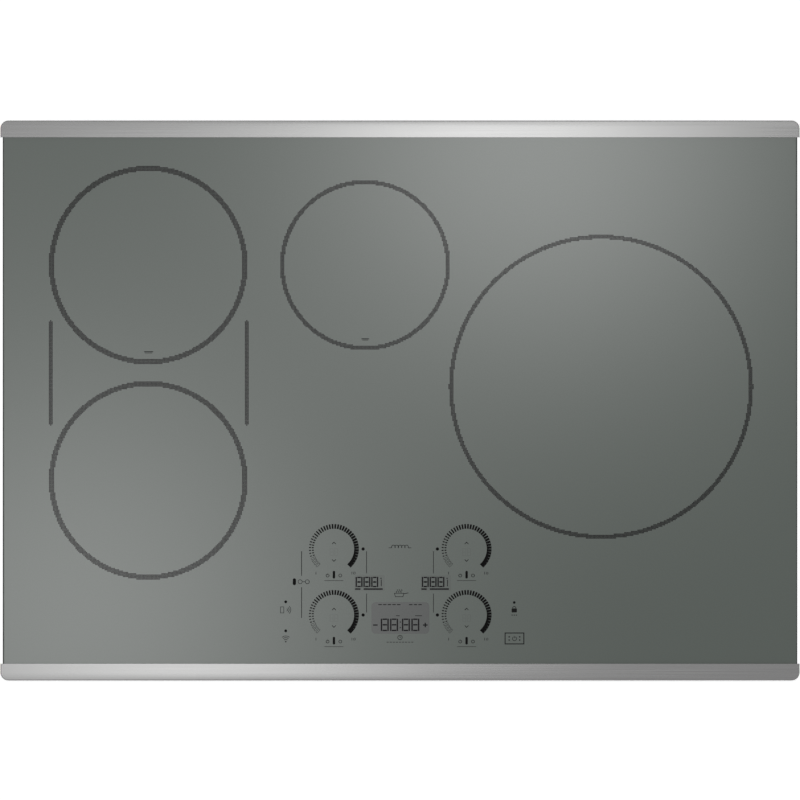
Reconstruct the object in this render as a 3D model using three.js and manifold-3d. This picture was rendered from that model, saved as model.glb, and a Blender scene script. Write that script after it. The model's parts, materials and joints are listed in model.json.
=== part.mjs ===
// Drop-in electric induction cooktop. A glass top with a stainless trim along its front and rear edges
// closes a steel box that hangs in a worktop cut-out. In the box, four induction coils are pressed up
// against the glass by springs, above two generator boards, each with its own heat sink and blower.
// A screw clamp on each side of the box pulls the cooktop down onto the worktop.
//
// Millimetres. +X is the user's right, +Y the rear and +Z up. The origin lies on the underside of the
// box floor, below the middle of the cooktop.

import * as THREE from "three";
import { mergeVertices } from "three/addons/utils/BufferGeometryUtils.js";
import Module from "manifold-3d";

const wasm = await Module();
wasm.setup();

// ---------------------------------------------------------------- driving sizes

const TOUCH = 0.3; // gap kept between two pieces that rest on each other

// Whole cooktop
const WIDTH = 756; // over the ends of the trims
const DEPTH = 530; // over the outer faces of the trims
const LEFT = -WIDTH / 2;
const FRONT = -DEPTH / 2;
const REAR = DEPTH / 2;
const BOX_DROP = 95; // box floor to the worktop's top face
const SIDE_OVERHANG = 22; // rim past the box at each side
const END_OVERHANG = 23; // rim past the box at the front and the rear
const CUTOUT_GAP = 6; // worktop cut-out past the box, all round

// Glass, trims, seal and frame
const GLASS = 4; // thickness of the glass
const GLASS_CORNER = 8; // corner radius of the glass, seen from above
const GLASS_STEP = 0.4; // ground step along the glass, under each trim
const TRIM_SHEET = 1.2; // steel of the trims
const TRIM_COVER = 16.2; // trim seen from above, front to rear
const TRIM_END = 2.4; // trim past the side edge of the glass
const TRIM_CORNER = 8; // corner radius of a trim, seen from above
const TRIM_ROLL = 0.9; // rounding of a trim's top edges
const TRIM_LIP = 9; // trim's lower leg, under the glass
const SEAL = 3; // thickness of the foam seal
const SEAL_SIDE_INSET = 4; // seal's outer edge from the ends of the trims
const FRAME_SHEET = 1.2; // steel of the frame bonded under the glass
const FRAME_FLANGE = 12; // frame's leg under the glass
const FRAME_WEB = 17; // frame's leg down the outside of the box

// Box
const SHEET = 1; // steel of the box
const BOX_FLANGE = 8; // folded edges of the box
const GRILLE_RADIUS = 44; // slotted intake under a blower
const GRILLE_PITCH = 9;
const SLOT = 4.5; // width of an air slot
const VENT_COUNT = 9; // outlet slots in a group
const VENT_PITCH = 12;
const VENT_LENGTH = 34;
const OUTLET_XS = [-230, 160]; // middle of each group of outlet slots in the rear wall

// Conduit pocket: a recess in the rear right corner of the box
const POCKET_WIDTH = 119;
const POCKET_DEPTH = 60;
const POCKET_HEIGHT = 45;
const CONDUIT_BORE = 8; // radius
const CONDUIT_THREAD = 10.4; // radius
const CONDUIT_BODY = 14.5; // radius
const CONDUIT_LENGTH = 30; // of the connector outside the wall
const LOCKNUT_RADIUS = 15.5; // across its corners
const LOCKNUT = 4; // thickness

// Coils, from the glass downwards
const PAD = 2; // insulating felt between winding and glass
const WINDING = 4.5;
const FORMER = 3;
const FERRITE = 4; // height of the ferrite bars under a former
const FERRITE_WIDTH = 13;
const FERRITES = 6; // bars in a coil
const HUB_RADIUS = 16; // solid middle of a former
const WINDING_BORE = 24; // inner radius of a winding
const SENSOR_RADIUS = 7;
const SPRING_HEIGHT = 18; // with the glass fitted
const SPRING_RADIUS = 5.2; // to the middle of the wire
const SPRING_WIRE = 0.6; // radius
const SPRING_TURNS = 3;
const SPRINGS = 3; // to each coil
const POST_RADIUS = 2.6; // guide post inside a spring
const POST_SLACK = 1; // all round a post in its hole
const POST_REACH = 4; // post below the coil plate
const COIL_PLATE = 2;
const COIL_PLATE_FOLD = 12; // folded-down front and rear edges of a coil plate
const PLATE_JOINT_X = 47; // where the left and the right coil plate meet

// The four cooking zones: middle of the zone, and radius of its coil
const ZONES = [
  { name: "left_rear", x: LEFT + 140, y: REAR - 137, radius: 88, postCircle: 56 },
  { name: "left_front", x: LEFT + 140, y: FRONT + 189.5, radius: 88, postCircle: 56 },
  { name: "centre_rear", x: -33, y: REAR - 137, radius: 75, postCircle: 48 },
  { name: "right", x: -LEFT - 188, y: 13, radius: 137, postCircle: 92 },
];

// Electronics on the box floor
const BOARD = 1.6;
const BOARD_HEIGHT = 8; // underside of a board above the box floor
const STANDOFF = 4; // radius
const GENERATOR_X = 225; // middle of each generator module, to left and right
const GENERATOR_Y = 40;
const GENERATOR_WIDTH = 196;
const GENERATOR_DEPTH = 158;
const SINK_WIDTH = 62;
const SINK_LENGTH = 150;
const SINK_HEIGHT = 38;
const SINK_BASE = 6;
const SINK_FINS = 9;
const FIN = 2;
const FILTER_X = -32;
const FILTER_Y = REAR - 130;
const FILTER_WIDTH = 160;
const FILTER_DEPTH = 130;

// Blowers
const BLOWER_Y = FRONT + 125;
const BLOWER_RADIUS = 58; // outside of the scroll
const BLOWER_HEIGHT = 34;
const BLOWER_WALL = 2;
const BLOWER_OUTLET = 56; // width of the outlet
const BLOWER_INTAKE = 38; // radius
const IMPELLER_RADIUS = 46;
const IMPELLER_HEIGHT = 24;
const IMPELLER_RIM = 8; // radial depth of the blades
const IMPELLER_BLADES = 18;
const IMPELLER_HUB = 15; // radius
const SHAFT_RADIUS = 2.5;
const SHAFT_SLACK = 0.3;

// Touch controls under the front of the glass
const CONTROL_WIDTH = 236;
const CONTROL_REAR = FRONT + 152; // Y of the rear edge
const CONTROL_FRONT = FRONT + 36; // Y of the front edge
const CARRIER_WALL = 1.6;
const CARRIER_DEPTH = 11;
const DIAL_X = 62.8; // middle of a power dial, to left and right
const DIAL_YS = [FRONT + 124.8, FRONT + 62.3]; // rear pair and front pair
const DIAL_INNER = 18.5;
const DIAL_OUTER = 24;
const SMALL_DISPLAY = { width: 30, depth: 15, x: 31.3, y: FRONT + 93.5 };
const TIMER_DISPLAY = { width: 56, depth: 29, y: FRONT + 59 };

// Hold-down clamps
const CLAMP_SHEET = 2;
const CLAMP_WIDTH = 42; // front to rear
const CLAMP_LEG_Z = BOX_DROP - 61; // underside of the bracket's outward leg
const CLAMP_UPRIGHT = 30; // bracket's leg up the side of the box
const CLAMP_AXIS = 13.5; // screw axis from the side of the box
const CLAMP_REACH = 21; // bracket's outward leg from the side of the box
const WORKTOP = 38; // thickness of worktop that the clamps are set for
const CLAMP_SCREW = 3; // radius
const CLAMP_SCREW_LENGTH = 36;
const CLAMP_SLACK = 0.3;
const CLAMP_HEAD = 5.5; // radius
const CLAMP_HEAD_HEIGHT = 4;
const CLAMP_PAD = 6; // radius
const CLAMP_PAD_HEIGHT = 3;

// ---------------------------------------------------------------- levels and edges that follow

const SEAL_TOP = BOX_DROP + SEAL;
const GLASS_UNDER = SEAL_TOP + TOUCH;
const GLASS_TOP = GLASS_UNDER + GLASS;
const TRIM_TOP = GLASS_TOP + TOUCH + TRIM_SHEET;
const TRIM_BOTTOM = GLASS_UNDER - TOUCH - TRIM_SHEET;
const FRAME_TOP = GLASS_UNDER - TOUCH;
const BOX_TOP = FRAME_TOP - FRAME_SHEET - TOUCH;
const BOX_X = WIDTH / 2 - SIDE_OVERHANG; // half widths of the box
const BOX_Y = DEPTH / 2 - END_OVERHANG;
const PAN_X = BOX_X - SHEET - TOUCH; // the pan ends inside the end panels
const GLASS_X = WIDTH / 2 - TRIM_END;
const GLASS_Y = DEPTH / 2 - TRIM_SHEET - TOUCH;
const FLOOR_TOP = SHEET + TOUCH; // what stands on the box floor starts here

const PAD_TOP = GLASS_UNDER - TOUCH;
const WINDING_TOP = PAD_TOP - PAD - TOUCH;
const FORMER_TOP = WINDING_TOP - WINDING - TOUCH;
const FORMER_UNDER = FORMER_TOP - FORMER;
const SPRING_TOP = FORMER_UNDER - TOUCH;
const PLATE_TOP = SPRING_TOP - SPRING_HEIGHT - TOUCH;
const PLATE_UNDER = PLATE_TOP - COIL_PLATE;

const POCKET_LEFT = PAN_X - POCKET_WIDTH;
const POCKET_FRONT = BOX_Y - POCKET_DEPTH;
const CONDUIT_X = POCKET_LEFT + POCKET_WIDTH / 2;
const CONDUIT_Z = POCKET_HEIGHT / 2;

// ---------------------------------------------------------------- geometry helpers

// A box between two corners, each range given as [low, high].
function block([x0, x1], [y0, y1], [z0, z1]) {
  const box = new THREE.BoxGeometry(x1 - x0, y1 - y0, z1 - z0);
  return box.translate((x0 + x1) / 2, (y0 + y1) / 2, (z0 + z1) / 2);
}

// An outline in the XY plane raised from z0 to z1.
function prism(shape, [z0, z1], curveSegments = 6) {
  const raised = new THREE.ExtrudeGeometry(shape, {
    depth: z1 - z0,
    bevelEnabled: false,
    curveSegments,
  });
  return raised.translate(0, 0, z0);
}

// An upright cylinder.
function post(x, y, [z0, z1], radius, sides = 12) {
  const cylinder = new THREE.CylinderGeometry(radius, radius, z1 - z0, sides);
  return cylinder.rotateX(Math.PI / 2).translate(x, y, (z0 + z1) / 2);
}

// A profile of [radius, height] points turned round the Z axis.
function turned(profile, sides) {
  const points = profile.map(([radius, height]) => new THREE.Vector2(radius, height));
  return new THREE.LatheGeometry(points, sides).rotateX(Math.PI / 2);
}

// A flat ring round the Z axis.
function ring(inner, outer, [z0, z1], sides) {
  const section = [
    [outer, z0],
    [outer, z1],
    [inner, z1],
    [inner, z0],
    [outer, z0],
  ];
  return turned(section, sides);
}

// A rectangle centred on x, y whose corners are rounded.
function roundedRectangle(halfX, halfY, radius) {
  const outline = new THREE.Shape();
  outline.moveTo(halfX, -halfY + radius);
  outline.absarc(halfX - radius, halfY - radius, radius, 0, Math.PI / 2);
  outline.absarc(-halfX + radius, halfY - radius, radius, Math.PI / 2, Math.PI);
  outline.absarc(-halfX + radius, -halfY + radius, radius, Math.PI, 1.5 * Math.PI);
  outline.absarc(halfX - radius, -halfY + radius, radius, 1.5 * Math.PI, 2 * Math.PI);
  return outline;
}

// A polygon from [x, y] points.
function polygon(points) {
  return new THREE.Shape(points.map(([x, y]) => new THREE.Vector2(x, y)));
}

// Five points along an arc round the origin.
function arcPoints(radius, from, to) {
  const curve = new THREE.EllipseCurve(0, 0, radius, radius, from, to, to < from);
  return curve.getPoints(4);
}

// The solid that a closed geometry bounds.
function solidOf(geometry) {
  const bare = geometry.index ? geometry.toNonIndexed() : geometry.clone();
  bare.deleteAttribute("normal");
  bare.deleteAttribute("uv");
  const merged = mergeVertices(bare, 1e-4);
  const mesh = new wasm.Mesh({
    numProp: 3,
    vertProperties: merged.attributes.position.array,
    triVerts: new Uint32Array(merged.index.array),
  });
  return new wasm.Manifold(mesh);
}

// The geometry of a solid.
function geometryOf(solid) {
  const { vertProperties, triVerts } = solid.getMesh();
  const geometry = new THREE.BufferGeometry();
  geometry.setAttribute("position", new THREE.BufferAttribute(vertProperties, 3));
  geometry.setIndex(new THREE.BufferAttribute(triVerts, 1));
  geometry.computeVertexNormals();
  return geometry;
}

function joined(...geometries) {
  return geometryOf(geometries.map(solidOf).reduce((whole, piece) => whole.add(piece)));
}

function cut(base, ...tools) {
  return geometryOf(tools.map(solidOf).reduce((whole, tool) => whole.subtract(tool), solidOf(base)));
}

// ---------------------------------------------------------------- materials

function material(color, roughness, metalness) {
  return new THREE.MeshStandardMaterial({ color, roughness, metalness });
}

const MATERIALS = {
  glass: material(0x6b706c, 0.12, 0.3),
  brushedSteel: material(0xc9cac9, 0.3, 1),
  boxSteel: material(0xa9adb0, 0.45, 0.9),
  darkSteel: material(0x4a4c4e, 0.5, 0.8),
  aluminium: material(0xbfc3c6, 0.4, 1),
  foam: material(0x2b2c2d, 0.95, 0),
  former: material(0x33302c, 0.7, 0),
  copper: material(0xb06a3c, 0.45, 0.8),
  felt: material(0xd9d5cb, 0.95, 0),
  spring: material(0x9a9c9e, 0.35, 1),
  board: material(0x2f5d3a, 0.5, 0.1),
  blackPlastic: material(0x1e1f21, 0.55, 0),
  whitePlastic: material(0xd8d8d2, 0.5, 0),
  zinc: material(0xb4b6b2, 0.4, 0.9),
  rubber: material(0x222222, 0.9, 0),
};

const cooktop = new THREE.Group();

function place(name, geometry, finish, parent = cooktop) {
  const mesh = new THREE.Mesh(geometry, finish);
  mesh.name = name;
  parent.add(mesh);
  return mesh;
}

// ---------------------------------------------------------------- glass top

// The glass, with a ground step along the front and the rear where a trim lies over it.
function glassTop() {
  const sheet = prism(roundedRectangle(GLASS_X, GLASS_Y, GLASS_CORNER), [GLASS_UNDER, GLASS_TOP]);
  const steps = [-1, 1].map((side) => {
    const edge = DEPTH / 2 - TRIM_COVER - TOUCH;
    const across = side < 0 ? [-DEPTH / 2, -edge] : [edge, DEPTH / 2];
    return block([-WIDTH / 2, WIDTH / 2], across, [GLASS_TOP - GLASS_STEP, GLASS_TOP + 1]);
  });
  return cut(sheet, ...steps);
}

// The rear trim: a channel that wraps the edge of the glass, closed past its ends and rounded at its
// two outer corners.
function rearTrim() {
  const inner = DEPTH / 2 - TRIM_COVER;
  const outline = new THREE.Shape();
  outline.moveTo(-WIDTH / 2, inner);
  outline.lineTo(WIDTH / 2, inner);
  outline.absarc(WIDTH / 2 - TRIM_CORNER, DEPTH / 2 - TRIM_CORNER, TRIM_CORNER, 0, Math.PI / 2);
  outline.absarc(-WIDTH / 2 + TRIM_CORNER, DEPTH / 2 - TRIM_CORNER, TRIM_CORNER, Math.PI / 2, Math.PI);
  const blank = new THREE.ExtrudeGeometry(outline, {
    depth: TRIM_TOP - TRIM_BOTTOM - 2 * TRIM_ROLL,
    bevelThickness: TRIM_ROLL,
    bevelSize: TRIM_ROLL,
    bevelOffset: -TRIM_ROLL,
    bevelSegments: 2,
    curveSegments: 5,
  }).translate(0, 0, TRIM_BOTTOM + TRIM_ROLL);
  const glassRoom = prism(
    roundedRectangle(GLASS_X + TOUCH, GLASS_Y + TOUCH, GLASS_CORNER + TOUCH),
    [GLASS_UNDER - TOUCH, GLASS_TOP + TOUCH],
  );
  const underGlass = block(
    [-GLASS_X, GLASS_X],
    [inner - 1, DEPTH / 2 - TRIM_LIP],
    [TRIM_BOTTOM - 1, GLASS_UNDER],
  );
  return cut(blank, glassRoom, underGlass);
}

// The foam loop between the rim and the worktop.
function rimSeal() {
  const outerX = WIDTH / 2 - SEAL_SIDE_INSET;
  const outerY = DEPTH / 2 - TRIM_LIP - TOUCH;
  const innerX = BOX_X + CUTOUT_GAP + TOUCH;
  const innerY = BOX_Y + CUTOUT_GAP + TOUCH;
  const loop = block([-outerX, outerX], [-outerY, outerY], [BOX_DROP, SEAL_TOP]);
  return cut(loop, block([-innerX, innerX], [-innerY, innerY], [BOX_DROP - 1, SEAL_TOP + 1]));
}

// The welded frame bonded under the glass. Its web reaches down outside the box, which is screwed to it.
function glassFrame() {
  const innerX = BOX_X + TOUCH;
  const innerY = BOX_Y + TOUCH;
  const outerX = innerX + FRAME_SHEET;
  const outerY = innerY + FRAME_SHEET;
  const bottom = FRAME_TOP - FRAME_WEB;
  const blank = block([-outerX, outerX], [-outerY, outerY], [bottom, FRAME_TOP]);
  const inside = block([-innerX, innerX], [-innerY, innerY], [bottom - 1, FRAME_TOP - FRAME_SHEET]);
  const windowX = outerX - FRAME_FLANGE;
  const windowY = outerY - FRAME_FLANGE;
  return cut(blank, inside, block([-windowX, windowX], [-windowY, windowY], [bottom, FRAME_TOP + 1]));
}

// ---------------------------------------------------------------- box

// Chord-length slots that fill a circle on the box floor.
function intakeSlots(x, y) {
  const slots = [];
  const half = Math.floor(GRILLE_RADIUS / GRILLE_PITCH);
  for (let i = -half; i <= half; i++) {
    const offset = i * GRILLE_PITCH;
    const chord = Math.sqrt(GRILLE_RADIUS ** 2 - offset ** 2);
    if (chord > 2 * SLOT) {
      const across = [y + offset - SLOT / 2, y + offset + SLOT / 2];
      slots.push(block([x - chord, x + chord], across, [-1, SHEET + 1]));
    }
  }
  return slots;
}

// A row of upright outlet slots in the rear wall, centred on x.
function outletSlots(x) {
  const top = PLATE_UNDER - COIL_PLATE_FOLD - SLOT;
  const through = [BOX_Y - SHEET - 1, BOX_Y + 1];
  return Array.from({ length: VENT_COUNT }, (_, i) => {
    const at = x + (i - (VENT_COUNT - 1) / 2) * VENT_PITCH;
    return block([at - SLOT / 2, at + SLOT / 2], through, [top - VENT_LENGTH, top]);
  });
}

// Floor, front wall and rear wall folded from one sheet, with inward flanges along the top.
function boxPan() {
  const profile = polygon([
    [-BOX_Y, 0],
    [BOX_Y, 0],
    [BOX_Y, BOX_TOP],
    [BOX_Y - BOX_FLANGE, BOX_TOP],
    [BOX_Y - BOX_FLANGE, BOX_TOP - SHEET],
    [BOX_Y - SHEET, BOX_TOP - SHEET],
    [BOX_Y - SHEET, SHEET],
    [-BOX_Y + SHEET, SHEET],
    [-BOX_Y + SHEET, BOX_TOP - SHEET],
    [-BOX_Y + BOX_FLANGE, BOX_TOP - SHEET],
    [-BOX_Y + BOX_FLANGE, BOX_TOP],
    [-BOX_Y, BOX_TOP],
  ]);
  const channel = prism(profile, [-PAN_X, PAN_X])
    .rotateX(Math.PI / 2)
    .rotateZ(Math.PI / 2);
  const pocket = block(
    [POCKET_LEFT, PAN_X + 1],
    [POCKET_FRONT, BOX_Y + 1],
    [-1, POCKET_HEIGHT],
  );
  const intakes = [-1, 1].flatMap((side) => intakeSlots(side * GENERATOR_X, BLOWER_Y));
  return cut(channel, pocket, ...intakes, ...OUTLET_XS.flatMap(outletSlots));
}

// A flat end of the box, with a flange on the floor and one along the top. side is -1 left, 1 right.
function endPanel(side) {
  const inner = BOX_X - SHEET;
  const flangeInner = inner - BOX_FLANGE;
  const x = (a, b) => [Math.min(side * a, side * b), Math.max(side * a, side * b)];
  const floorRear = side > 0 ? POCKET_FRONT - SHEET - TOUCH : BOX_Y - SHEET - TOUCH;
  const topY = BOX_Y - BOX_FLANGE - TOUCH;
  return joined(
    block(x(inner, BOX_X), [-BOX_Y, BOX_Y], [0, BOX_TOP]),
    block(x(flangeInner, inner), [-BOX_Y + SHEET + TOUCH, floorRear], [FLOOR_TOP, FLOOR_TOP + SHEET]),
    block(x(flangeInner, inner), [-topY, topY], [BOX_TOP - SHEET, BOX_TOP]),
  );
}

// The folded lining of the recess that the supply conduit enters: a ceiling and two walls.
function conduitPocket() {
  const right = PAN_X - TOUCH;
  const rear = BOX_Y - SHEET - TOUCH;
  const left = POCKET_LEFT - TOUCH;
  const front = POCKET_FRONT - TOUCH;
  const roof = POCKET_HEIGHT + TOUCH;
  const shell = joined(
    block([left - SHEET, right], [front - SHEET, rear], [roof, roof + SHEET]),
    block([left - SHEET, right], [front - SHEET, front], [FLOOR_TOP, roof + SHEET]),
    block([left - SHEET, left], [front - SHEET, rear], [FLOOR_TOP, roof + SHEET]),
  );
  const hole = post(CONDUIT_X, CONDUIT_Z, [-front - 1, -front + SHEET + 1], CONDUIT_THREAD + TOUCH, 20);
  return cut(shell, hole.rotateX(Math.PI / 2));
}

// A screwed connector for flexible conduit. Its thread passes through the pocket's front wall.
function conduitConnector() {
  const wall = SHEET + LOCKNUT + 2 * TOUCH + 2; // thread that stands inside the box
  const profile = [
    [CONDUIT_BORE, -wall],
    [CONDUIT_THREAD, -wall],
    [CONDUIT_THREAD, TOUCH],
    [CONDUIT_BODY, TOUCH],
    [CONDUIT_BODY, CONDUIT_LENGTH],
    [CONDUIT_BORE, CONDUIT_LENGTH],
    [CONDUIT_BORE, -wall],
  ];
  return turned(profile, 20)
    .rotateX(-Math.PI / 2)
    .translate(CONDUIT_X, POCKET_FRONT - TOUCH, CONDUIT_Z);
}

function conduitLocknut() {
  const rear = POCKET_FRONT - 2 * TOUCH - SHEET;
  const blank = post(0, 0, [0, LOCKNUT], LOCKNUT_RADIUS, 6);
  const bore = post(0, 0, [-1, LOCKNUT + 1], CONDUIT_THREAD + TOUCH, 20);
  return cut(blank, bore)
    .rotateX(Math.PI / 2)
    .translate(CONDUIT_X, rear, CONDUIT_Z);
}

// The block on which the supply wires end, with a barrier between the poles.
function terminalBlock() {
  const poles = 4;
  const pitch = 13;
  const barrier = 2;
  const right = POCKET_LEFT - SHEET - 12;
  const left = right - poles * pitch;
  const rear = BOX_Y - SHEET - 14;
  const base = block([left, right], [rear - 24, rear], [FLOOR_TOP, FLOOR_TOP + 14]);
  const walls = [];
  for (let i = 0; i <= poles; i++) {
    const at = left + (i * (right - left - barrier)) / poles;
    walls.push(block([at, at + barrier], [rear - 24, rear], [FLOOR_TOP, FLOOR_TOP + 24]));
  }
  return joined(base, ...walls);
}

// ---------------------------------------------------------------- coils

// Angle of a spring and its guide post round a coil.
const springAngle = (i) => ((i + 0.25) / SPRINGS) * 2 * Math.PI;

function springPlaces(zone) {
  return Array.from({ length: SPRINGS }, (_, i) => [
    zone.postCircle * Math.cos(springAngle(i)),
    zone.postCircle * Math.sin(springAngle(i)),
  ]);
}

// A coil plate: an aluminium sheet across the box, folded down at the front and rear, with a hole for
// each guide post. It runs from xs[0] to xs[1].
function coilPlate(xs, zones) {
  const y = BOX_Y - SHEET - TOUCH;
  const folded = joined(
    block(xs, [-y, y], [PLATE_UNDER, PLATE_TOP]),
    block(xs, [-y, -y + COIL_PLATE], [PLATE_TOP - COIL_PLATE_FOLD, PLATE_TOP]),
    block(xs, [y - COIL_PLATE, y], [PLATE_TOP - COIL_PLATE_FOLD, PLATE_TOP]),
  );
  const holes = zones.flatMap((zone) =>
    springPlaces(zone).map(([x, y]) =>
      post(zone.x + x, zone.y + y, [PLATE_UNDER - 1, PLATE_TOP + 1], POST_RADIUS + POST_SLACK, 10),
    ),
  );
  return cut(folded, ...holes);
}

// The moulded former: a spoked disc with a ferrite bar under each spoke and a guide post at each spring.
function coilFormer(zone) {
  const rim = zone.radius + 2;
  const disc = new THREE.Shape().absarc(0, 0, rim, 0, 2 * Math.PI);
  const spoke = (2 * Math.PI) / FERRITES;
  for (let i = 0; i < FERRITES; i++) {
    const outer = arcPoints(zone.radius * 0.45, (i + 0.22) * spoke, (i + 0.78) * spoke);
    const inner = arcPoints(zone.radius * 0.28, (i + 0.78) * spoke, (i + 0.22) * spoke);
    disc.holes.push(new THREE.Path([...outer, ...inner]));
  }
  const plate = prism(disc, [FORMER_UNDER, FORMER_TOP], 14);
  const bars = Array.from({ length: FERRITES }, (_, i) =>
    block(
      [HUB_RADIUS, zone.radius - 4],
      [-FERRITE_WIDTH / 2, FERRITE_WIDTH / 2],
      [FORMER_UNDER - FERRITE, FORMER_UNDER + FORMER / 2],
    ).rotateZ(i * spoke),
  );
  const posts = springPlaces(zone).map(([x, y]) =>
    post(x, y, [PLATE_UNDER - POST_REACH, FORMER_TOP - FORMER / 2], POST_RADIUS, 10),
  );
  const seat = post(0, 0, [FORMER_UNDER - 1, FORMER_TOP + 1], SENSOR_RADIUS - 1, 12);
  return cut(joined(plate, ...bars, ...posts), seat);
}

function coilWinding(zone) {
  return ring(WINDING_BORE, zone.radius, [WINDING_TOP - WINDING, WINDING_TOP], 28);
}

function coilPad(zone) {
  return ring(SENSOR_RADIUS + 2, zone.radius + 2, [PAD_TOP - PAD, PAD_TOP], 28);
}

// The temperature sensor: a capsule that stands in the middle of the coil and touches the glass.
function coilSensor() {
  const stem = SENSOR_RADIUS - 1 - TOUCH;
  const profile = [
    [0, FORMER_UNDER - 5],
    [stem, FORMER_UNDER - 5],
    [stem, FORMER_TOP + TOUCH],
    [SENSOR_RADIUS, FORMER_TOP + TOUCH],
    [SENSOR_RADIUS, PAD_TOP - PAD],
    [stem, PAD_TOP],
    [0, PAD_TOP],
  ];
  return turned(profile, 12);
}

class Helix extends THREE.Curve {
  getPoint(t) {
    const angle = t * SPRING_TURNS * 2 * Math.PI;
    const rise = SPRING_WIRE + t * (SPRING_HEIGHT - 2 * SPRING_WIRE);
    return new THREE.Vector3(SPRING_RADIUS * Math.cos(angle), SPRING_RADIUS * Math.sin(angle), rise);
  }
}

function coilSpring() {
  const wire = new THREE.Shape();
  wire.absarc(0, 0, SPRING_WIRE, 0, 2 * Math.PI);
  const coiled = new THREE.ExtrudeGeometry(wire, {
    steps: 8 * SPRING_TURNS,
    curveSegments: 2,
    extrudePath: new Helix(),
  });
  coiled.computeBoundingBox();
  const { min, max } = coiled.boundingBox;
  const fit = SPRING_HEIGHT / (max.z - min.z);
  return coiled.translate(0, 0, -min.z).scale(1, 1, fit);
}

// One cooking zone: former, winding, pad and sensor, standing on its springs.
function addZone(zone) {
  const assembly = new THREE.Group();
  assembly.position.set(zone.x, zone.y, 0);
  cooktop.add(assembly);
  place(`${zone.name}_coil_former`, coilFormer(zone), MATERIALS.former, assembly);
  place(`${zone.name}_coil_winding`, coilWinding(zone), MATERIALS.copper, assembly);
  place(`${zone.name}_coil_pad`, coilPad(zone), MATERIALS.felt, assembly);
  place(`${zone.name}_coil_sensor`, coilSensor(), MATERIALS.whitePlastic, assembly);
  springPlaces(zone).forEach(([x, y], i) => {
    const spring = place(`${zone.name}_spring_${i + 1}`, coilSpring(), MATERIALS.spring, assembly);
    spring.position.set(x, y, PLATE_TOP + TOUCH);
  });
}

// ---------------------------------------------------------------- electronics

const BOARD_UNDER = SHEET + BOARD_HEIGHT;
const BOARD_TOP = BOARD_UNDER + BOARD;

// A bare board on four standoffs, centred on the origin.
function boardOnStandoffs(width, depth) {
  const inset = STANDOFF + 3;
  const legs = [-1, 1].flatMap((sx) =>
    [-1, 1].map((sy) =>
      post(
        sx * (width / 2 - inset),
        sy * (depth / 2 - inset),
        [FLOOR_TOP, BOARD_UNDER + BOARD / 2],
        STANDOFF,
        8,
      ),
    ),
  );
  return [block([-width / 2, width / 2], [-depth / 2, depth / 2], [BOARD_UNDER, BOARD_TOP]), ...legs];
}

// A component on a board, sunk into it so that the two are one solid.
const onBoard = (height) => [BOARD_UNDER + BOARD / 2, BOARD_TOP + height];

// A generator board: resonance capacitors and chokes on both sides of the heat sink.
function generatorBoard() {
  const lane = (SINK_WIDTH / 2 + GENERATOR_WIDTH / 2) / 2;
  const parts = [];
  for (const y of [-50, 0, 50]) {
    parts.push(block([lane - 20, lane + 20], [y - 15, y + 15], onBoard(24)));
  }
  for (const y of [-52, 12]) {
    parts.push(post(-lane, y, onBoard(30), 19, 14));
  }
  parts.push(block([-lane - 14, -lane + 14], [44, 74], onBoard(18)));
  return joined(...boardOnStandoffs(GENERATOR_WIDTH, GENERATOR_DEPTH), ...parts);
}

// A finned extrusion that the power transistors are screwed to.
function heatSink() {
  const half = SINK_WIDTH / 2;
  const pitch = (SINK_WIDTH - FIN) / (SINK_FINS - 1);
  const outline = [
    [-half, 0],
    [half, 0],
  ];
  for (let i = SINK_FINS - 1; i >= 0; i--) {
    const left = -half + i * pitch;
    if (i < SINK_FINS - 1) outline.push([left + FIN, SINK_BASE]);
    outline.push([left + FIN, SINK_HEIGHT], [left, SINK_HEIGHT]);
    if (i > 0) outline.push([left, SINK_BASE]);
  }
  return prism(polygon(outline), [-SINK_LENGTH / 2, SINK_LENGTH / 2])
    .rotateX(Math.PI / 2)
    .translate(0, 0, BOARD_TOP + TOUCH);
}

// The mains filter: two chokes, a film capacitor and a relay.
function filterBoard() {
  return joined(
    ...boardOnStandoffs(FILTER_WIDTH, FILTER_DEPTH),
    post(-42, 24, onBoard(26), 24, 16),
    post(18, 24, onBoard(26), 24, 16),
    block([48, 72], [-20, 40], onBoard(28)),
    block([-64, -24], [-50, -22], onBoard(20)),
    block([-10, 30], [-50, -26], onBoard(16)),
  );
}

// ---------------------------------------------------------------- blowers

const BLOWER_UNDER = FLOOR_TOP;
const BLOWER_TOP = BLOWER_UNDER + BLOWER_HEIGHT;
const IMPELLER_TOP = BLOWER_TOP - BLOWER_WALL - 3;
const IMPELLER_UNDER = IMPELLER_TOP - IMPELLER_HEIGHT;
const BLOWER_MOUTH = GENERATOR_Y - GENERATOR_DEPTH / 2 - 3; // Y of the outlet, just ahead of the board

// Outline of the scroll drawn inset by a wall, with its outlet reaching to `mouth`.
function scroll(inset, mouth) {
  const radius = BLOWER_RADIUS - inset;
  const half = BLOWER_OUTLET / 2 - inset;
  const start = Math.acos(half / radius);
  const outline = new THREE.Shape();
  outline.moveTo(half, mouth);
  outline.lineTo(-half, mouth);
  outline.absarc(0, 0, radius, Math.PI - start, 2 * Math.PI + start);
  return outline;
}

// The blower housing, centred on the impeller: intake below, outlet to the rear, motor shaft from above.
function blowerHousing() {
  const mouth = BLOWER_MOUTH - BLOWER_Y;
  const shell = cut(
    prism(scroll(0, mouth), [BLOWER_UNDER, BLOWER_TOP], 14),
    prism(scroll(BLOWER_WALL, mouth + 1), [BLOWER_UNDER + BLOWER_WALL, BLOWER_TOP - BLOWER_WALL], 14),
    post(0, 0, [BLOWER_UNDER - 1, BLOWER_UNDER + BLOWER_WALL + 1], BLOWER_INTAKE, 24),
  );
  const shaft = post(0, 0, [IMPELLER_UNDER + 3, BLOWER_TOP - BLOWER_WALL / 2], SHAFT_RADIUS, 10);
  return joined(shell, shaft);
}

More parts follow.
